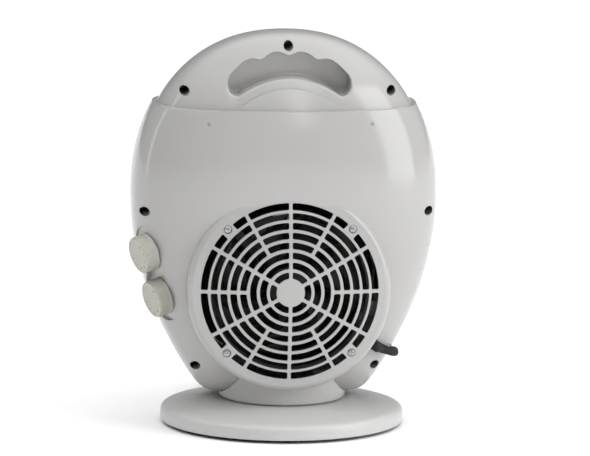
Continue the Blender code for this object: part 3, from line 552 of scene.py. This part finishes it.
def smooth_line(points, spacing):
    """Catmull-Rom curve through the points, read off at an even spacing."""
    ends = [points[0] * 2 - points[1]] + points + [points[-1] * 2 - points[-2]]
    fine = []
    for before, start, end, after in zip(ends, ends[1:], ends[2:], ends[3:]):
        for i in range(20):
            t = i / 20
            fine.append(0.5 * (2 * start + (end - before) * t
                               + (2 * before - 5 * start + 4 * end - after) * t * t
                               + (3 * start - before - 3 * end + after) * t ** 3))
    fine.append(points[-1])
    lengths = [0.0]
    for first, second in zip(fine, fine[1:]):
        lengths.append(lengths[-1] + (second - first).length)
    count = max(3, round(lengths[-1] / spacing))
    even, j = [], 0
    for i in range(count + 1):
        target = lengths[-1] * i / count
        while j < len(lengths) - 2 and lengths[j + 1] < target:
            j += 1
        share = (target - lengths[j]) / max(lengths[j + 1] - lengths[j], 1e-9)
        even.append(fine[j].lerp(fine[j + 1], min(max(share, 0.0), 1.0)))
    return even


def handle_outline():
    """Finger pocket seen from behind: an arch below, four finger scallops above, lobed ends."""
    lower = [Vector((x, HANDLE_MIDDLE_Z - HANDLE_RISE * (x / HANDLE_HALF) ** 2)) for x in range(-36, 37, 2)]
    upper = []
    for x in range(43, -44, -1):
        wave = math.sin(math.tau * x / SCALLOP_PITCH)
        finger = math.sqrt(wave ** 2 + SCALLOP_SOFTNESS ** 2) - SCALLOP_SOFTNESS
        upper.append(Vector((x, HANDLE_TOP_Z - HANDLE_CROWN * x * x + SCALLOP_DEPTH * finger)))
    lobe = [Vector((40.0, 266.0)), Vector((43.6, 266.4)), Vector((46.8, 269.4)), Vector((48.2, 274.5)),
            Vector((47.0, 280.0))]
    mirrored = [Vector((-point.x, point.y)) for point in reversed(lobe)]
    points = lower + lobe + upper + mirrored
    line = smooth_line(points + [points[0]], 0.9)
    return [(point.x, point.y) for point in line[:-1]]


def outward(outline):
    """Unit normals of a closed outline that runs anticlockwise, averaged over its neighbours."""
    count = len(outline)
    normals = []
    for i in range(count):
        (ax, ay), (bx, by) = outline[(i - 2) % count], outline[(i + 2) % count]
        normals.append(Vector((by - ay, ax - bx)).normalized())
    return normals


def handle_cutter(round_over=2.2):
    """The finger pocket's space, widening round its rim and rounded at its floor."""
    outline = handle_outline()
    normals = outward(outline)
    rim = [crown_y(x, z) for x, z in outline]
    rings = []
    floor_round, overshoot, beyond = 2.0, 6.0, 90.0
    steep = math.radians(76)
    for k in range(5):
        t = math.pi / 2 * k / 4
        inset, y = floor_round * (1 - math.sin(t)), HANDLE_FLOOR_Y + floor_round * (1 - math.cos(t))
        rings.append([(x - n.x * inset, y, z - n.y * inset) for (x, z), n in zip(outline, normals)])
    for k in range(8):
        t = steep * k / 7
        grow, sink = round_over * (1 - math.cos(t)), round_over * (1 - math.sin(t))
        rings.append([(x + n.x * grow, top - sink, z + n.y * grow)
                      for (x, z), n, top in zip(outline, normals, rim)])
    grow = round_over * (1 - math.cos(steep)) + overshoot * math.sin(steep)
    lift = -round_over * (1 - math.sin(steep)) + overshoot * math.cos(steep)
    rings.append([(x + n.x * grow, top + lift, z + n.y * grow)
                  for (x, z), n, top in zip(outline, normals, rim)])
    rings.append([(x, beyond, z) for x, _, z in rings[-1]])
    return blank(add_loft(bmesh.new(), rings))


def control_base(name):
    """Middle of a knob's foot, on the floor of the control pocket."""
    return KNOB_FACES[name] - CONTROL_AXIS * (KNOB_HEIGHT + KNOB_LIFT)


def control_solid(radius, low, high, flare=0.0):
    """Prism of two overlapping circles, one round each knob's foot."""
    upper, lower = control_base("thermostat"), control_base("selector")
    along_pair = (upper - lower).normalized()
    across = CONTROL_AXIS.cross(along_pair)
    half = (upper - lower).length / 2
    place = Matrix.Translation((upper + lower) / 2) @ Matrix((
        (along_pair.x, across.x, CONTROL_AXIS.x, 0), (along_pair.y, across.y, CONTROL_AXIS.y, 0),
        (along_pair.z, across.z, CONTROL_AXIS.z, 0), (0, 0, 0, 1)))
    rings = []
    for height, grow in ((low, 0.0), (high, flare)):
        size = radius + grow
        meet = math.acos(half / size)
        steps = 48
        ring = []
        for side in (1, -1):
            for i in range(steps):
                angle = (math.pi - meet) * (2 * i / steps - 1)
                spot = (side * (half + size * math.cos(angle)), side * size * math.sin(angle), height)
                ring.append(place @ Vector(spot))
        rings.append(ring)
    return blank(add_loft(bmesh.new(), rings))


def swivel_opening():
    """Round hole in the casing's underside, over the swivel."""
    return blank(turned(rod(44.0, 0.0, 62.0), 96))


def inside_wall(shape, rear):
    """Trim a boss so that it ends inside the casing's wall."""
    core = half_casing(rear, WALL / 3)
    if rear:
        combine(core, drum(WALL / 3), "UNION")
    return combine(shape, core, "INTERSECT")


def rear_casing():
    """Rear casing with its air inlet, finger pocket, control pocket and screw wells."""
    shell = half_casing(True)
    combine(shell, drum(), "UNION")
    hollow = half_casing(True, WALL, 1.0)
    combine(hollow, drum(WALL, PARTING_Y - 0.5, 120), "UNION")
    combine(shell, hollow)
    combine(shell, inside_wall(round_holes(CASE_SCREWS, 6.0, PARTING_Y + GAP, 60.0), True), "UNION")
    outline = handle_outline()
    wide = [(x + n.x * WALL, z + n.y * WALL) for (x, z), n in zip(outline, outward(outline))]
    cup = blank(add_prism(bmesh.new(), wide[::2], HANDLE_FLOOR_Y - WALL, 60.0, UPRIGHT))
    combine(shell, inside_wall(cup, True), "UNION")
    combine(shell, inside_wall(control_solid(POCKET_RADIUS + WALL, -WALL, 30.0), True), "UNION")
    combine(shell, handle_cutter())
    combine(shell, control_solid(POCKET_RADIUS, 0.0, 40.0, 3.0))
    for name in KNOB_FACES:
        combine(shell, blank(turned(rod(3.6, -8.0, 8.0), 32, along(CONTROL_AXIS, control_base(name)))))
    combine(shell, round_holes(CASE_SCREWS, WELL_RADIUS, WELL_FLOOR_Y, 70.0, 36))
    combine(shell, round_holes(CASE_SCREWS, CASE_HOLE_RADIUS, PARTING_Y - 2.0, PARTING_Y + 9.0, 16))
    combine(shell, slot_cutter())
    combine(shell, round_holes(grille_screw_places(), 3.2, GRILLE_WELL_Y, 80.0, 32))
    combine(shell, round_holes(grille_screw_places(), 1.7, 50.0, 80.0, 16))
    combine(shell, blank(turned(rod(4.6, -11.5, 6.0), 32, along(EXIT_NORMAL, LEAD_EXIT))))
    for x, z in PIP_PLACES:
        dimple = bmesh.new()
        spot = (x, PARTING_Y + bulge(reach(x, z), REAR_BULGE, REAR_POWERS) + 0.6, z)
        bmesh.ops.create_uvsphere(dimple, u_segments=24, v_segments=12, radius=PIP_RADIUS,
                                  matrix=Matrix.Translation(spot))
        combine(shell, blank(dimple))
    combine(shell, swivel_opening())
    return shell


def front_casing():
    """Front casing: bosses for the case screws and a round outlet."""
    shell = half_casing(False)
    combine(shell, half_casing(False, WALL, 1.0))
    combine(shell, inside_wall(round_holes(CASE_SCREWS, 5.0, -34.0, PARTING_Y - GAP), False), "UNION")
    combine(shell, round_holes(CASE_SCREWS, CASE_HOLE_RADIUS, PARTING_Y - 16.0, 10.0, 16))
    combine(shell, blank(turned(rod(OUTLET_RADIUS, -100.0, -20.0), 160, FAN_PLACE)))
    combine(shell, swivel_opening())
    return shell


class HEATER_OT_casing(bpy.types.Operator):
    """Make the rear and front halves of the casing"""

    bl_idname = "heater.casing"
    bl_label = "Casing"

    def execute(self, context):
        gloss = finish_of("gloss_abs")
        piece(rear_casing(), "rear_casing", gloss, "head", ["rear_shell"])
        piece(front_casing(), "front_casing", gloss, "head", ["front_shell"])
        return {"FINISHED"}


# ---------------------------------------------------------------- repeated parts

def socket_of(tree, name):
    """Identifier of a tree's input by its name."""
    return next(item.identifier for item in tree.interface.items_tree
                if item.name == name and item.item_type == "SOCKET" and item.in_out == "INPUT")


def repeat_tree(on_ring):
    """Nodes that set a piece on every point of the mesh, or evenly on a ring about Z."""
    tree = bpy.data.node_groups.new("repeat", "GeometryNodeTree")
    kinds = {"Geometry": "NodeSocketGeometry", "Piece": "NodeSocketObject", "Finish": "NodeSocketMaterial",
             "Count": "NodeSocketInt", "Radius": "NodeSocketFloat"}
    for label, kind in kinds.items():
        tree.interface.new_socket(label, in_out="INPUT", socket_type=kind)
    tree.interface.new_socket("Geometry", in_out="OUTPUT", socket_type="NodeSocketGeometry")
    given = node(tree, "NodeGroupInput")
    shape = node(tree, "GeometryNodeObjectInfo", {}, {"Object": given.outputs["Piece"]})
    if on_ring:
        ring = node(tree, "GeometryNodeMeshCircle", {}, {"Vertices": given.outputs["Count"],
                                                         "Radius": given.outputs["Radius"]})
        place = node(tree, "GeometryNodeInputPosition")
        parts = node(tree, "ShaderNodeSeparateXYZ", {}, {"Vector": place.outputs["Position"]})
        angle = node(tree, "ShaderNodeMath", {"operation": "ARCTAN2"},
                     {0: parts.outputs["Y"], 1: parts.outputs["X"]})
        turn = node(tree, "ShaderNodeCombineXYZ", {}, {"Z": angle.outputs["Value"]})
        places = {"Points": ring.outputs["Mesh"], "Rotation": turn.outputs["Vector"]}
    else:
        places = {"Points": given.outputs["Geometry"]}
    rows = node(tree, "GeometryNodeInstanceOnPoints", {}, {"Instance": shape.outputs["Geometry"], **places})
    real = node(tree, "GeometryNodeRealizeInstances", {}, {"Geometry": rows.outputs["Instances"]})
    dressed = node(tree, "GeometryNodeSetMaterial", {}, {"Geometry": real.outputs["Geometry"],
                                                         "Material": given.outputs["Finish"]})
    node(tree, "NodeGroupOutput", {}, {"Geometry": dressed.outputs["Geometry"]})
    return tree


def repeat(shape, finish, places=(), count=0, radius=0.0):
    """Plain mesh object that holds a shape at every place, or evenly round a ring about Z."""
    mesh = bpy.data.meshes.new("places")
    mesh.from_pydata([tuple(place) for place in places], [], [])
    carrier = link("places", mesh)
    tree = repeat_tree(not places)
    modifier = carrier.modifiers.new("repeat", "NODES")
    modifier.node_group = tree
    for name, value in (("Piece", shape), ("Finish", finish), ("Count", count), ("Radius", radius)):
        modifier[socket_of(tree, name)] = value
    made = shown_mesh(carrier)
    carrier.modifiers.clear()
    carrier.data = made
    bpy.data.objects.remove(shape, do_unlink=True)
    return carrier


def cross_screw(profile, head_top, along_y=True):
    """Screw with a cross recess in its head, standing along Y or Z."""
    screw = blank(turned(profile, 32))
    cross = bmesh.new()
    rings = []
    half, narrow, depth = 2.2, 0.375, 1.3
    outline = ((half, narrow), (narrow, narrow), (narrow, half), (-narrow, half), (-narrow, narrow),
               (-half, narrow), (-half, -narrow), (-narrow, -narrow), (-narrow, -half), (narrow, -half),
               (narrow, -narrow), (half, -narrow))
    for height, grow in ((head_top + 0.6, 1.0), (head_top - depth, 0.55)):
        rings.append([(x * grow, y * grow, height) for x, y in outline])
    add_loft(cross, rings)
    combine(screw, blank(cross))
    if along_y:
        screw.data.transform(ONTO_Y)
    return screw


class HEATER_OT_screws(bpy.types.Operator):
    """Make the casing screws, the inlet screws and the screws under the foot"""

    bl_idname = "heater.screws"
    bl_label = "Screws"

    def execute(self, context):
        zinc = finish_of("zinc_plate")
        head = WELL_FLOOR_Y + GAP
        deep = rounded(((0.0, head + 2.2), (2.6, head + 1.8), (3.3, head + 0.7), (3.3, head), (1.5, head),
                        (1.5, PARTING_Y - 14.0), (0.0, PARTING_Y - 15.0)), 0.4)
        made = repeat(cross_screw(deep, head + 2.2), zinc, [(x, 0.0, z) for x, z in CASE_SCREWS])
        piece(made, "case_screws", zinc, "head", [f"case_screw_{i}" for i in range(1, 8)])
        head = GRILLE_WELL_Y + GAP
        flat = rounded(((0.0, head + 1.7), (2.2, head + 1.4), (2.9, head + 0.6), (2.9, head), (1.4, head),
                        (1.4, 48.0), (0.0, 47.0)), 0.3)
        made = repeat(cross_screw(flat, head + 1.7), zinc, [(x, 0.0, z) for x, z in grille_screw_places()])
        piece(made, "grille_screws", zinc, "head", [f"grille_screw_{i}" for i in range(1, 5)])
        low = rounded(((0.0, -2.7), (3.1, -2.7), (3.1, -3.5), (1.5, -3.5), (1.5, -11.0), (0.0, -11.5)), 0.3)
        shape = cross_screw(low, -2.7, along_y=False)
        shape.data.transform(Matrix.Rotation(math.pi, 4, "X"))
        corners = [math.radians(45 + 90 * i) for i in range(4)]
        places = [(BASE_SCREW_RADIUS * math.cos(a), BASE_SCREW_RADIUS * math.sin(a), 0.0) for a in corners]
        made = repeat(shape, zinc, places)
        piece(made, "base_screws", zinc, "base", [f"base_screw_{i}" for i in range(1, 5)])
        return {"FINISHED"}


class HEATER_OT_outlet(bpy.types.Operator):
    """Make the louvred outlet in the front casing"""

    bl_idname = "heater.outlet"
    bl_label = "Outlet grille"

    def execute(self, context):
        grille = half_casing(False)
        combine(grille, half_casing(False, 3.0, 1.0))
        disc = blank(turned(rod(OUTLET_RADIUS - GAP, -100.0, -20.0), 160, FAN_PLACE))
        combine(grille, disc, "INTERSECT")
        pitch, opening, rim, rib = 14.0, 9.5, 5.0, 1.5
        bars = bmesh.new()
        for i in range(-4, 5):
            level = i * pitch
            half = math.sqrt((OUTLET_RADIUS - rim) ** 2 - (abs(level) + opening / 2) ** 2)
            for side in (-1, 1):
                middle, reach_out = side * (rib + half) / 2, (half - rib) / 2
                outline = slit(middle, FAN_Z + level, reach_out, opening / 2, 2.5)
                add_prism(bars, outline, -100.0, -20.0, UPRIGHT)
        combine(grille, blank(bars))
        piece(grille, "outlet_louvres", finish_of("gloss_abs"), "head", ["outlet_grille"])
        return {"FINISHED"}


def slit(x, z, half_wide, half_high, corner, steps=6):
    """Rectangle outline with rounded corners."""
    points = []
    for k, (sx, sz) in enumerate(((1, 1), (-1, 1), (-1, -1), (1, -1))):
        for i in range(steps + 1):
            angle = math.pi / 2 * (k + i / steps)
            points.append((x + sx * (half_wide - corner) + corner * math.cos(angle),
                           z + sz * (half_high - corner) + corner * math.sin(angle)))
    return points


class HEATER_OT_controls(bpy.types.Operator):
    """Make the two knobs, their grip ribs and their printed dial marks"""

    bl_idname = "heater.controls"
    bl_label = "Control knobs"

    def execute(self, context):
        finish = finish_of("knob_abs")
        ink = finish_of("black_ink")
        low = KNOB_LIFT
        top = low + KNOB_HEIGHT
        for name, body in (("thermostat", "thermostat_dial"), ("selector", "selector_dial")):
            place = along(CONTROL_AXIS, control_base(name))
            outer = rounded(((0.0, top - 0.4), (12.4, top - 0.4), (13.2, top), (KNOB_RADIUS - 0.5, top),
                             (KNOB_RADIUS - 0.35, low + 2.2), (KNOB_RADIUS, low + 1.6), (KNOB_RADIUS, low),
                             (12.6, low), (12.6, 7.5), (6.0, 7.5), (6.0, 1.0), (3.3, 1.0), (3.3, 9.6),
                             (0.0, 9.6)), 0.9)
            knob = blank(turned(outer, 128))
            if sizes().knob_ribs:
                rib = blank(turned(rounded(rod(0.45, low + 2.6, top - 1.4), 0.3), 8))
                ribs = repeat(rib, finish, count=sizes().knob_ribs, radius=KNOB_RADIUS - 0.55)
                combine(knob, ribs, "UNION")
            knob.data.transform(place)
            piece(knob, name + "_cap", finish, body, [name + "_knob"])
            marks = bmesh.new()
            for i in range(sizes().dial_marks):
                turn = Matrix.Rotation(math.radians(200 + 35 * i), 4, "Z")
                tall = 1.7 if i % 3 == 0 else 1.0
                outline = [turn.to_2x2() @ Vector(spot) for spot in
                           slit(10.3, 0.0, tall / 2 + 0.1, 0.38, 0.3, 3)]
                add_prism(marks, [tuple(spot) for spot in outline], top - 0.42, top - 0.34)
            printed = blank(marks)
            printed.data.transform(place)
            piece(printed, name + "_marks", ink, body, [])
        return {"FINISHED"}


class HEATER_OT_foot(bpy.types.Operator):
    """Make the round foot, the neck above it and the rubber pads"""

    bl_idname = "heater.foot"
    bl_label = "Foot and neck"

    def execute(self, context):
        cover = ((45.0, BASE_TOP_Z), (54.0, BASE_TOP_Z), (90.5, 14.6), (94.0, 13.4), (95.6, 11.4),
                 (BASE_RADIUS, 9.0), (BASE_RADIUS, 3.6), (95.4, 2.6), (93.2, 2.6), (93.2, 9.0), (89.5, 11.9),
                 (54.0, 18.5), (45.0, 18.5))
        foot = blank(turned(rounded(cover, 2.5, 6), 200))
        piece(foot, "foot_cover", finish_of("satin_abs"), "base", ["base_cover"])
        cup = ((9.7, NECK_FLOOR_Z + 2.5), (47.3, NECK_FLOOR_Z + 2.5), (47.3, 62.0), (NECK_RADIUS, 62.0),
               (NECK_RADIUS, NECK_FLOOR_Z + 1.0), (NECK_RADIUS - 1.0, NECK_FLOOR_Z), (9.7, NECK_FLOOR_Z))
        collar = blank(turned(cup, 160))
        combine(collar, half_casing(True, -GAP, 2.0))
        combine(collar, half_casing(False, -GAP, 2.0))
        combine(collar, drum(-GAP))
        combine(collar, blank(turned(rod(3.4, 0.0, 40.0), 24, Matrix.Translation((0, -24.0, 0)))))
        piece(collar, "neck", finish_of("gloss_abs"), "head", ["swivel_collar"])
        rubber = finish_of("black_rubber")
        pad = ((0.0, 2.3), (7.0, 2.3), (7.0, 0.6), (6.4, 0.0), (0.0, 0.0))
        pads = repeat(blank(turned(rounded(pad, 0.5), 32)), rubber, count=4, radius=PAD_RADIUS)
        piece(pads, "rubber_pads", rubber, "base", [f"rubber_foot_{i}" for i in range(1, 5)])
        return {"FINISHED"}


# ---------------------------------------------------------------- mains lead

def ease(value, start, end):
    """0 before start, 1 after end, smooth between."""
    t = min(max((value - start) / (end - start), 0.0), 1.0)
    return t * t * (3 - 2 * t)


def coil_spot(degrees):
    """Radius and height of the lead in its coil, after this much winding from the coil's start."""
    wide = 2 * LEAD_RADIUS
    floor = LEAD_RADIUS + 0.3
    step = wide * math.sin(math.pi / 3)
    outer = COIL_RADIUS
    second, third = outer - wide, outer - 2 * wide
    angle = degrees + 180.0
    if angle < 1100.0:
        radius = outer - wide * (ease(angle, 500, 528) + ease(angle, 860, 888))
        return radius, floor
    if angle < 1480.0:
        turn = math.pi / 3 * ease(angle, 1190, 1216)
        radius, height = second - wide * math.cos(turn), floor + wide * math.sin(turn)
    elif angle < 1640.0:
        turn = math.pi / 3 * ease(angle, 1524, 1550)
        radius, height = outer - wide / 2 - wide * math.cos(turn), floor + step + wide * math.sin(turn)
    else:
        turn = math.pi / 3 * (1 - ease(angle, 1746, 1785))
        radius, height = third + wide / 2 + wide * math.cos(turn), floor + step + wide * math.sin(turn)
    share = ease(angle % 360.0, 140, 168)
    aside = wide * (0.5 - share)
    return radius, height + math.sqrt(wide * wide - aside * aside) - step


def lead_route():
    """The whole mains lead, from the sleeve to the plug, as points in millimetres."""
    points = [LEAD_EXIT + SLEEVE_DIRECTION * away for away in (6.0, 14.0, SLEEVE_LENGTH + 1.5)]
    points += [Vector(point) for point in LEAD_ROUTE]
    for i in range(COIL_POINTS + 1):
        degrees = COIL_DEGREES * i / COIL_POINTS
        radius, height = coil_spot(degrees)
        angle = math.radians(180.0 + degrees)
        points.append(COIL_CENTRE + Vector((radius * math.cos(angle), radius * math.sin(angle), height)))
    return points + [Vector(point) for point in TAIL_ROUTE]


def curve_through(name, points, radius):
    """One open smooth curve through the points, with a round section."""
    curve = bpy.data.curves.new(name, "CURVE")
    curve.dimensions = "3D"
    curve.resolution_u = 5
    curve.bevel_depth = radius
    curve.bevel_resolution = 5
    curve.use_fill_caps = True
    spline = curve.splines.new("BEZIER")
    spline.bezier_points.add(len(points) - 1)
    for i, (target, point) in enumerate(zip(spline.bezier_points, points)):
        before, after = points[max(i - 1, 0)], points[min(i + 1, len(points) - 1)]
        way = (after - before).normalized()
        target.co = point
        target.handle_left_type = target.handle_right_type = "FREE"
        target.handle_left = point - way * (point - before).length / 3
        target.handle_right = point + way * (after - point).length / 3
    return link(name, curve)


class HEATER_OT_lead(bpy.types.Operator):
    """Make the mains lead, its sleeve and its coil on the floor"""

    bl_idname = "heater.lead"
    bl_label = "Mains lead"

    def execute(self, context):
        pvc = finish_of("black_pvc")
        points = [point * MM for point in lead_route()]
        guide = curve_through("lead_line", points, LEAD_RADIUS * MM)
        mesh = shown_mesh(guide)
        guide.data.bevel_depth = 0.0
        line = shown_mesh(guide)
        bpy.data.objects.remove(guide, do_unlink=True)
        bm = bmesh.new()
        bm.from_mesh(mesh)
        bmesh.ops.remove_doubles(bm, verts=bm.verts, dist=1e-7)
        bmesh.ops.recalc_face_normals(bm, faces=bm.faces)
        bm.to_mesh(mesh)
        bm.free()
        lead = link("mains_lead", mesh)
        mesh.materials.clear()
        mesh.materials.append(pvc)
        mesh.shade_smooth()
        mesh.set_sharp_from_angle(angle=math.radians(50))
        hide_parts("cord_lead", "cord_coil", "cord_tail")
        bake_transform(lead)
        self.make_sleeve(pvc)
        return {"FINISHED"}

    def make_sleeve(self, pvc):
        """Bush in the casing with its tapered, ringed sleeve."""
        collar = rounded(((0.0, 2.0), (4.2, 2.0), (4.2, -11.0), (0.0, -11.0)), 0.6)
        bush = blank(turned(collar, 40, along(EXIT_NORMAL, LEAD_EXIT)))
        place = along(SLEEVE_DIRECTION, LEAD_EXIT)
        ball = bmesh.new()
        bmesh.ops.create_uvsphere(ball, u_segments=40, v_segments=20, radius=4.3, matrix=place)
        combine(bush, blank(ball), "UNION")
        sleeve = [(0.0, SLEEVE_LENGTH), (3.0, SLEEVE_LENGTH)]
        rings = 6
        for i in range(rings):
            high = 16.5 - 2.0 * i
            wide = 3.0 + 0.9 * (1 - high / SLEEVE_LENGTH)
            groove = wide - 0.35
            sleeve += [(wide, high), (wide, high - 0.5), (groove, high - 0.7), (groove, high - 1.3),
                       (wide + 0.05, high - 1.5)]
        sleeve += [(3.9, 3.0), (3.9, 0.0), (0.0, 0.0)]
        combine(bush, blank(turned(rounded(sleeve, 0.3, 2), 40, place)), "UNION")
        bore = turned(rod(LEAD_RADIUS + 0.05, 5.5, 30.0), 40, place)
        combine(bush, blank(bore))
        piece(bush, "lead_sleeve", pvc, "head", ["cord_bush"])


# ---------------------------------------------------------------- inner parts

# Pieces that keep the shape of their CAD solids, by finish
CARRIED = {
    "black_polypropylene": ("fan_shroud", "impeller", "tip_switch", "base_plate", "thermostat_body",
                            "selector_body"),
    "black_enamel": ("motor_bracket",),
    "rolled_steel": ("fan_motor", "motor_shaft", "oscillation_motor"),
    "zinc_plate": ("thermal_cutout", "cord_clamp", "thermostat_spindle", "selector_spindle", "pivot_screw",
                   "swivel_washer"),
    "phenolic": ("heater_frame", "terminal_block", "crank_arm", "crank_track", "tip_plunger"),
    "black_pvc": ("mains_plug",),
}


class HEATER_OT_element(bpy.types.Operator):
    """Make the finned heating element behind the outlet"""

    bl_idname = "heater.element"
    bl_label = "Heating element"

    def execute(self, context):
        ceramic = finish_of("fired_ceramic")
        half, near, far, rail = 40.7, -35.0, -23.0, 4.0
        pitch, thick, divider = 1.85, 0.35, 3.2
        count = int((2 * half - 2 * rail) / pitch)
        fin = blank(add_box(bmesh.new(), (-half + 1.0, near + 0.5, -thick / 2),
                            (half - 1.0, far - 0.5, thick / 2)))
        fins = repeat(fin, ceramic, [(0.0, 0.0, FAN_Z + pitch * (i - (count - 1) / 2)) for i in range(count)])
        bars = bmesh.new()
        for z in (-half, half - rail):
            add_box(bars, (-half, near, FAN_Z + z), (half, far, FAN_Z + z + rail))
        for x, wide in ((-half, rail), (-divider / 2, divider), (half - rail, rail)):
            add_box(bars, (x, near + 0.2, FAN_Z - half + rail), (x + wide, far - 0.2, FAN_Z + half - rail))
        bars.from_mesh(fins.data)
        bars.to_mesh(fins.data)
        bars.free()
        piece(fins, "heating_block", ceramic, "head", ["heater_element"])
        return {"FINISHED"}


class HEATER_OT_inner_parts(bpy.types.Operator):
    """Give the fan, motors, switches, swivel and plug their finishes"""

    bl_idname = "heater.inner_parts"
    bl_label = "Inner parts"

    def execute(self, context):
        for finish, names in CARRIED.items():
            for name in names:
                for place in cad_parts[name].material_slots:
                    place.material = finish_of(finish)
        return {"FINISHED"}


# ---------------------------------------------------------------- studio

def soft_light(name, spot, aim, size, power):
    """A rectangular soft box that faces a point."""
    light = bpy.data.lights.new(name, "AREA")
    light.shape = "RECTANGLE"
    light.size, light.size_y = size
    light.energy = power
    made = link(name, light)
    made.location = spot
    made.rotation_mode = "QUATERNION"
    made.rotation_quaternion = (Vector(aim) - Vector(spot)).to_track_quat("-Z", "Y")
    return made


class HEATER_OT_stage(bpy.types.Operator):
    """Make the floor, the lights and the camera"""

    bl_idname = "heater.stage"
    bl_label = "Stage"

    def execute(self, context):
        scene = context.scene
        floor = blank(add_box(bmesh.new(), (-12.0, -12.0, -0.02), (12.0, 12.0, 0.0)))
        floor.name = "floor"
        white = plastic("studio_paper", colours().floor, 0.9, 5.0, 0.0, 0.1, 0.01)
        floor.data.materials.append(white)
        scene.view_settings.view_transform = "Standard"
        world = bpy.data.worlds.new("studio")
        world.use_nodes = True
        tree = world.node_tree
        sky = tree.nodes["Background"]
        sky.inputs["Color"].default_value = (1.0, 1.0, 1.0, 1.0)
        way = node(tree, "ShaderNodeTexCoord")
        parts = node(tree, "ShaderNodeSeparateXYZ", {}, {"Vector": way.outputs["Generated"]})
        ceiling = node(tree, "ShaderNodeMapRange", {"interpolation_type": "SMOOTHSTEP", "From Min": 0.35,
                                                    "From Max": 0.85, "To Min": 0.10, "To Max": 1.65},
                       {"Value": parts.outputs["Z"]})
        tree.links.new(ceiling.outputs["Result"], sky.inputs["Strength"])
        scene.world = world
        middle = (0.0, 0.0, 0.16)
        soft_light("key", (-2.2, 1.2, 1.0), middle, (1.6, 2.0), 36.0)
        soft_light("middle_strip", (-0.35, 2.4, 1.5), middle, (0.3, 1.5), 4.0)
        soft_light("left_strip", (2.3, -0.5, 0.9), middle, (0.2, 1.6), 3.0)
        azimuth, elevation, roll = (math.radians(angle) for angle in CAMERA_ANGLES)
        back = Vector((math.sin(azimuth) * math.cos(elevation), -math.cos(azimuth) * math.cos(elevation),
                       math.sin(elevation)))
        right = Vector((math.cos(azimuth), math.sin(azimuth), 0.0))
        up = back.cross(right)
        camera = bpy.data.cameras.new("camera")
        camera.lens = CAMERA_LENS
        camera.sensor_width = 36.0
        made = link("camera", camera)
        made.location = right * CAMERA_SHIFT[0] + up * CAMERA_SHIFT[1] + back * CAMERA_AWAY
        facing = Matrix((right, up, back)).transposed()
        made.rotation_mode = "QUATERNION"
        made.rotation_quaternion = (facing @ Matrix.Rotation(roll, 3, "Z")).to_quaternion()
        scene.camera = made
        return {"FINISHED"}


class HEATER_PT_panel(bpy.types.Panel):
    """Sidebar panel with one button for each piece"""

    bl_idname = "HEATER_PT_panel"
    bl_label = "Fan convector heater"
    bl_space_type = "VIEW_3D"
    bl_region_type = "UI"
    bl_category = "Heater"

    def draw(self, context):
        column = self.layout.column()
        for settings in (context.scene.heater_sizes, context.scene.heater_colours):
            # the first two properties are Blender's own type and name
            for name in settings.bl_rna.properties.keys()[2:]:
                column.prop(settings, name)
        for operator in OPERATORS:
            column.operator(operator.bl_idname)


OPERATORS = (HEATER_OT_stage, HEATER_OT_lead, HEATER_OT_casing, HEATER_OT_outlet, HEATER_OT_controls,
             HEATER_OT_screws, HEATER_OT_foot, HEATER_OT_element, HEATER_OT_inner_parts)
CLASSES = (HeaterColours, HeaterSizes) + OPERATORS + (HEATER_PT_panel,)


def register():
    """Register the settings, operators and panel."""
    for item in CLASSES:
        bpy.utils.register_class(item)
    bpy.types.Scene.heater_colours = bpy.props.PointerProperty(type=HeaterColours)
    bpy.types.Scene.heater_sizes = bpy.props.PointerProperty(type=HeaterSizes)


def unregister():
    """Take the settings, operators and panel away again."""
    del bpy.types.Scene.heater_sizes
    del bpy.types.Scene.heater_colours
    for item in reversed(CLASSES):
        bpy.utils.unregister_class(item)


def main():
    """Register the settings, then make the stage and every piece."""
    register()
    for operator in OPERATORS:
        group, name = operator.bl_idname.split(".")
        getattr(getattr(bpy.ops, group), name)()


if __name__ == "__main__":
    main()
